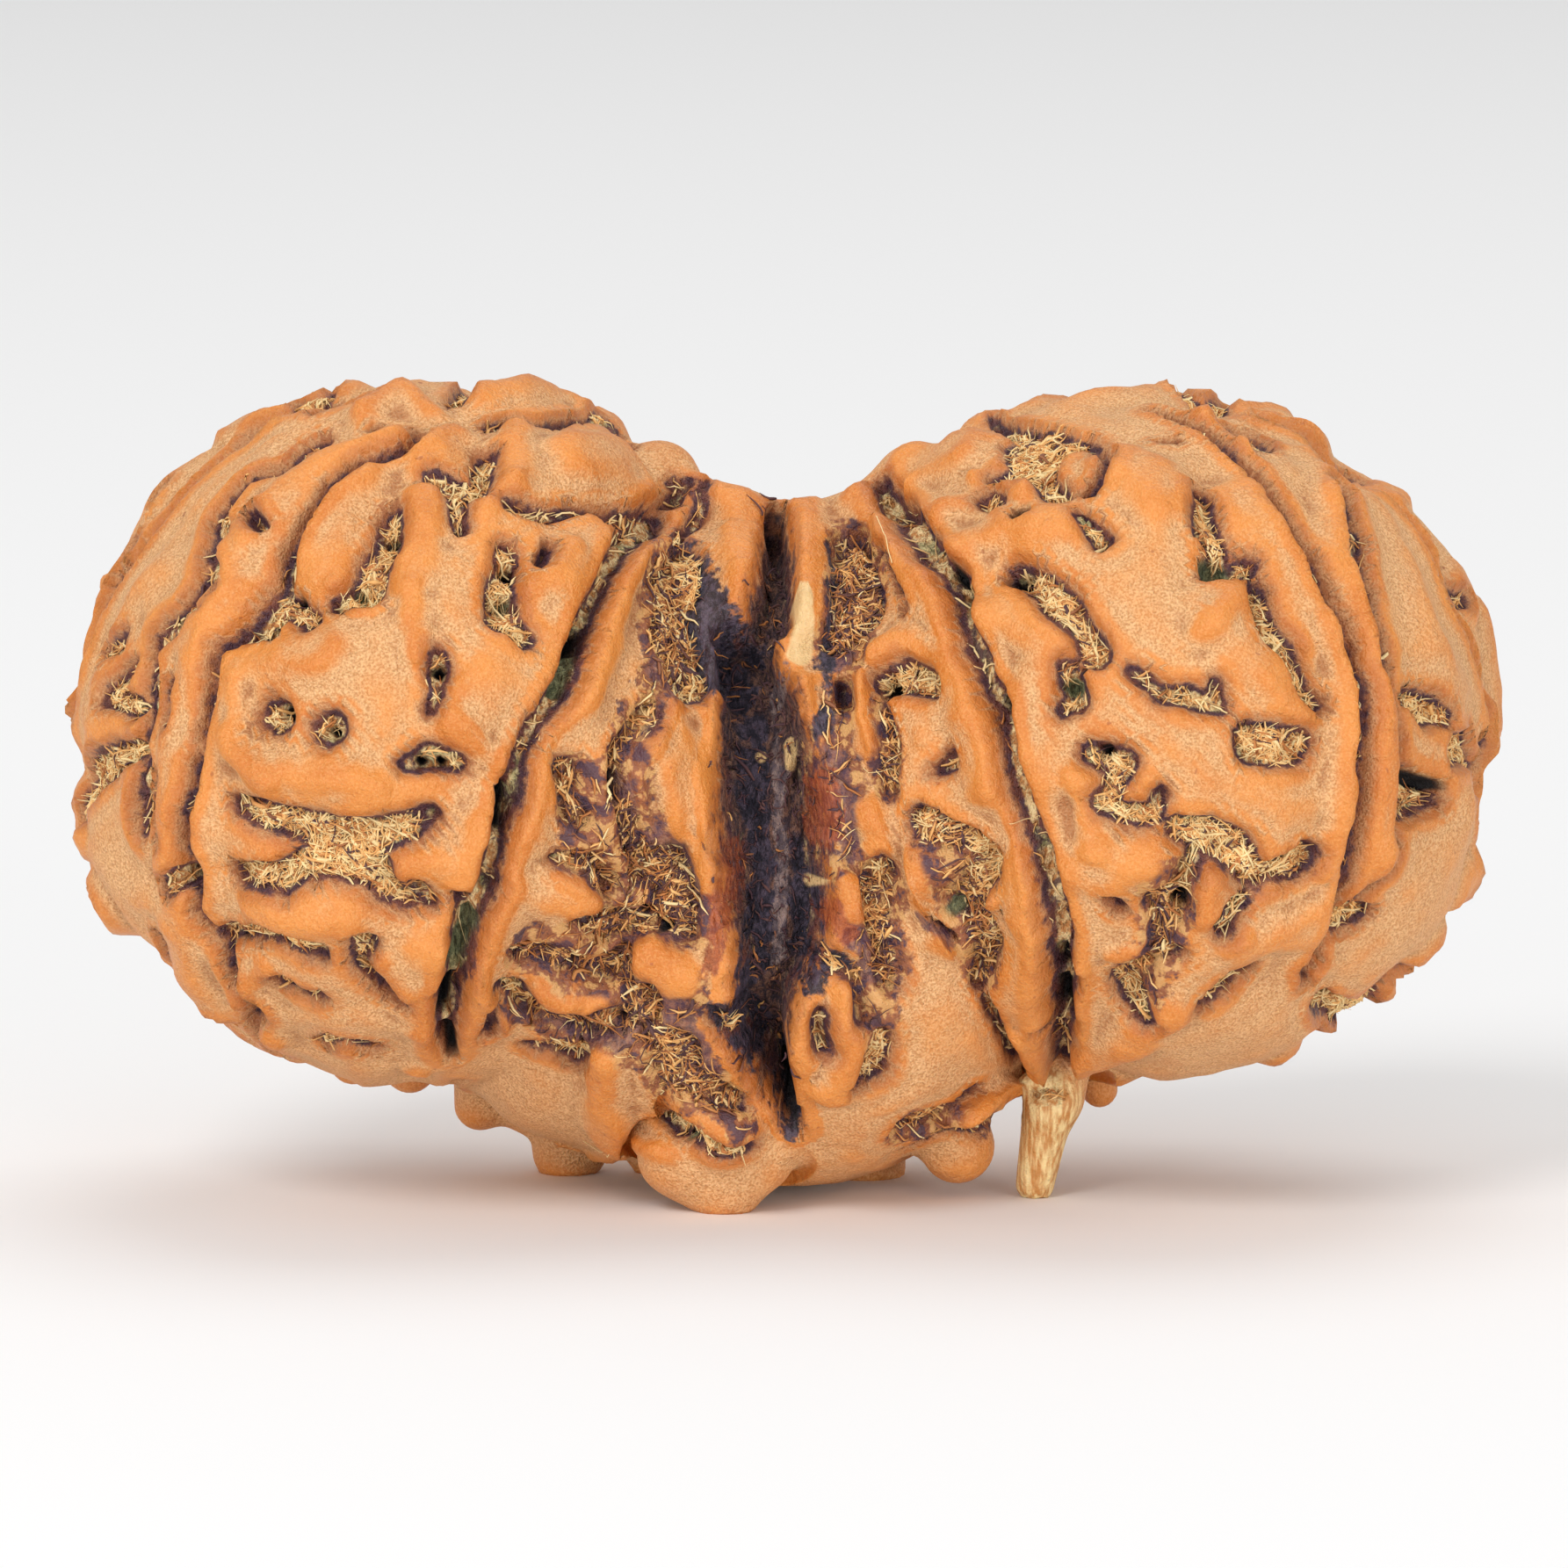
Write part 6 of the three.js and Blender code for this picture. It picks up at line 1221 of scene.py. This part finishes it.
def stone_material():
    shader = Shader("rudraksha_stone")
    jag = shader.maths("SUBTRACT", shader.noise(0.3, 4, roughness=0.65), 0.5)
    opened = shader.wandering("opened", jag, 0.22)
    patch = shader.noise(1.7, 3)
    grain = shader.noise(0.055, 2)
    bulge = shader.fact("bulge")

    # Skin: bright and waxy on the ridges, paler and sugary in the flats
    crest = shader.maths("MULTIPLY", shader.fact("ridge"), 0.3)
    lively = shader.maths("ADD", crest, shader.maths("MULTIPLY", bulge, 9.0))
    lively = shader.maths("ADD", lively, shader.maths("MULTIPLY", shader.maths("SUBTRACT", patch, 0.5), 1.6))
    lively = shader.ramp(lively, -0.35, 1.1)
    bloom = shader.tone(shader.ramp(grain, 0.30, 0.70), "bloom")
    waxy = shader.tone(shader.ramp(patch, 0.3, 0.7), "waxy")
    waxy = shader.mix(shader.ramp(grain, 0.4, 0.7, 0.0, 0.3), waxy, srgb(*SUGARY))
    skin = shader.mix(lively, bloom, waxy)
    specks = shader.ramp(shader.noise(0.3, 1), 0.76, 0.80)
    skin = shader.mix(shader.maths("MULTIPLY", specks, 0.5), skin, srgb(*SPECK))
    # Painted shade: concave creases, where the bulge is below zero, darken towards a brown
    skin = shader.mix(shader.ramp(bulge, -0.12, -0.01, 0.6, 0.0), skin, srgb(*PAINTED_GROOVE_SHADE))

    # Painted shade in a band just outside each hollow, the thin stained edges of the hollows, and their
    # fibrous floors
    # Painted shade: a reddish-brown band darkens the surface just outside each hollow's edge
    edge_shade = shader.ramp(opened, 0.02, 0.26, 0.45, 0.0)
    colour = shader.mix(edge_shade, skin, srgb(*PAINTED_EDGE_SHADE))
    straw = shader.noise(0.13, 3, (1, 1, 0.55), 0.6)
    strands = shader.ramp(straw, 0.38, 0.62)
    fibrous = shader.tone(strands, "straw")
    mossy = shader.tone(strands, "moss")
    inner = shader.mix(shader.ramp(shader.noise(0.9, 2), 0.52, 0.64), fibrous, mossy)
    bruise = shader.noise(0.45, 3, roughness=0.6)
    inner = shader.mix(shader.ramp(bruise, 0.53, 0.62, 0.0, 0.85), inner, srgb(*BRUISE))
    floor = shader.ramp(opened, -0.15, -0.08, 1.0, 0.0)
    stain = shader.tone(shader.ramp(shader.noise(0.6, 2), 0.4, 0.6), "rim")
    rim = shader.ramp(opened, -0.04, 0.04, 0.92, 0.0)
    colour = shader.mix(rim, colour, stain)
    colour = shader.mix(floor, colour, inner)

    # The valley where the stones are joined, and the stains beside it
    wide_jag = shader.maths("SUBTRACT", shader.noise(0.5, 4, roughness=0.65), 0.5)
    shore = shader.wandering("valley", wide_jag, 0.8)
    fuzz = shader.noise(0.16, 4, (1, 1, 0.5), 0.7)
    deep = shader.tone(shader.ramp(fuzz, 0.42, 0.62), "valley")
    colour = shader.mix(shader.ramp(shore, -0.12, 0.1, 1.0, 0.0), colour, deep)
    bare = shader.ramp(shader.fact("ridge"), 0.3, 0.6, 1.0, 0.1)
    matted = shader.tone(shader.ramp(bruise, 0.40, 0.47), "matted")
    matted = shader.mix(shader.ramp(bruise, 0.50, 0.58), matted, srgb(*TUFT))
    reach = shader.wandering("flank", wide_jag, 1.2)
    low_lying = shader.ramp(shader.fact("ridge"), 0.4, 0.75, 0.92, 0.0)
    share = shader.maths("MULTIPLY", shader.ramp(reach, 0.0, 0.16, 1.0, 0.0), low_lying)
    colour = shader.mix(share, colour, matted)
    for name, strength in STAIN_STRENGTHS.items():
        reach = shader.wandering(name, wide_jag, 1.0)
        share = shader.maths("MULTIPLY", shader.ramp(reach, -0.05, 0.1, strength, 0.0), bare)
        colour = shader.mix(share, colour, shader.tone(shader.ramp(fuzz, 0.4, 0.62), name))
    island = shader.ramp(shader.fact("pale"), -0.03, 0.06, 1.0, 0.0)
    colour = shader.mix(island, colour, shader.tone(fuzz, "pale"))
    green = shader.tone(shader.ramp(straw, 0.4, 0.6), "green")
    colour = shader.mix(shader.ramp(shader.fact("green_hole"), -0.02, 0.08, 0.9, 0.0), colour, green)
    # Painted shadow: the deep holes are painted near black
    hole_shadow = shader.ramp(shader.fact("dark_hole"), -0.02, 0.08, 1.0, 0.0)
    colour = shader.mix(hole_shadow, colour, srgb(*PAINTED_HOLE_SHADOW))

    # The splinter is bare pale wood
    streaks = shader.noise(0.12, 3, (1, 1, 0.12))
    wood = shader.tone(shader.ramp(streaks, 0.35, 0.65), "wood")
    colour = shader.mix(shader.ramp(shader.fact("splinter"), 0.05, 0.3, 1.0, 0.0), colour, wood)
    shader.put("Base Color", colour)

    # Gloss, and the finest relief
    roughness = shader.mix(lively, (0.68, 0.68, 0.68, 1), (0.4, 0.4, 0.4, 1))
    roughness = shader.mix(rim, roughness, (0.42, 0.42, 0.42, 1))
    roughness = shader.mix(floor, roughness, (0.85, 0.85, 0.85, 1))
    shader.put("Roughness", roughness)
    shader.put("Specular IOR Level", 0.4)
    flat_grain = shader.maths("MULTIPLY", grain, shader.ramp(lively, 0.0, 1.0, 1.0, 0.4))
    grains = shader.bump(flat_grain, 0.06)
    pores = shader.bump(shader.noise(0.4, 4, roughness=0.6), 0.12, grains)
    inside = shader.ramp(opened, -0.12, 0.02, 1.0, 0.0)
    threads = shader.maths("MULTIPLY", straw, inside)
    shader.put("Normal", shader.bump(threads, 0.2, pores))
    shader.put("Subsurface Weight", 0.1)
    shader.put("Subsurface Radius", (0.0006, 0.0003, 0.00012))
    shader.put("Subsurface Scale", 1.0)
    return shader.material


def fibre_material():
    shader = Shader("dry_fibre")
    tint = shader.fact("tint")
    colour = srgb(*FIRST_FIBRE)
    for low, high, shade in FIBRE_TINTS:
        colour = shader.mix(shader.ramp(tint, low, high), colour, srgb(*shade))
    shade = shader.ramp(shader.noise(0.4, 2), 0.3, 0.7, 0.2, 0.0)
    shader.put("Base Color", shader.mix(shade, colour, srgb(*FIBRE_SHADE)))
    shader.put("Roughness", 0.7)
    shader.put("Specular IOR Level", 0.3)
    return shader.material


def floor_material():
    shader = Shader("pale_floor")
    shader.put("Base Color", srgb(246, 246, 246))
    shader.put("Roughness", 0.9)
    return shader.material


def add_light(name, place, aim, size, power):
    lamp = bpy.data.lights.new(name, "AREA")
    lamp.shape = "DISK"
    lamp.size = size
    lamp.energy = power
    light = bpy.data.objects.new(name, lamp)
    light.location = place
    light.rotation_euler = (Vector(aim) - Vector(place)).to_track_quat("-Z", "Y").to_euler()
    bpy.context.scene.collection.objects.link(light)


def make_stage(middle):
    """Pale floor, soft studio light, and the camera at the photograph's angle."""
    mesh = bpy.data.meshes.new("floor")
    reach = FLOOR_REACH
    corners = [(-reach, -reach, 0), (reach, -reach, 0), (reach, reach, 0), (-reach, reach, 0)]
    mesh.from_pydata(corners, [], [(0, 1, 2, 3)])
    mesh.materials.append(floor_material())
    floor = bpy.data.objects.new("floor", mesh)
    bpy.context.scene.collection.objects.link(floor)

    world = bpy.data.worlds.new("studio")
    world.use_nodes = True
    world.node_tree.nodes["Background"].inputs["Color"].default_value = (1, 1, 1, 1)
    world.node_tree.nodes["Background"].inputs["Strength"].default_value = WORLD_LIGHT
    bpy.context.scene.world = world
    for name, place, size, power in LIGHTS:
        add_light(name, place, middle, size, power)

    # Plain picture colours, so that a strong orange stays as strong as it is in daylight
    bpy.context.scene.view_settings.view_transform = "Standard"

    camera = bpy.data.cameras.new("camera")
    camera.lens = CAMERA_LENS
    camera.sensor_width = CAMERA_SENSOR
    camera.clip_start = 0.01
    eye = bpy.data.objects.new("camera", camera)
    away = FRAME_WIDTH * MM * CAMERA_LENS / CAMERA_SENSOR
    target = np.array(middle) + FRAME_RISE * MM * SIGHT_UP
    eye.location = target - SIGHT_IN * away
    eye.rotation_euler = Vector(SIGHT_IN).to_track_quat("-Z", "Y").to_euler()
    bpy.context.scene.collection.objects.link(eye)
    bpy.context.scene.camera = eye


def main():
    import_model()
    relief = Relief()
    stone = make_stone(relief)
    vertices, quads, plain, facts = stone
    low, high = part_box("twin_stone")
    shift = (np.array(low) + np.array(high)) / 2 / MM - (vertices.min(0) + vertices.max(0)) / 2
    shift[2] = -FLOOR_Z
    made = [make_piece("stone_surface", vertices, quads, facts, stone_material())]
    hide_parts("twin_stone")

    fibre = fibre_material()
    weights = fibre_weights(plain, facts)
    for seed, (name, count, length, lift, tints) in enumerate(FIBRE_BEDS, start=1):
        bed = grow_fibres(name, count, length, lift, tints, weights[name], stone, relief, seed, fibre)
        made.append(bed)
    made.append(lay_hairs("loose_hairs", relief, fibre))
    for piece in made:
        piece.data.transform(Matrix.Translation(shift * MM))

    make_stage((shift * MM).tolist())


main()
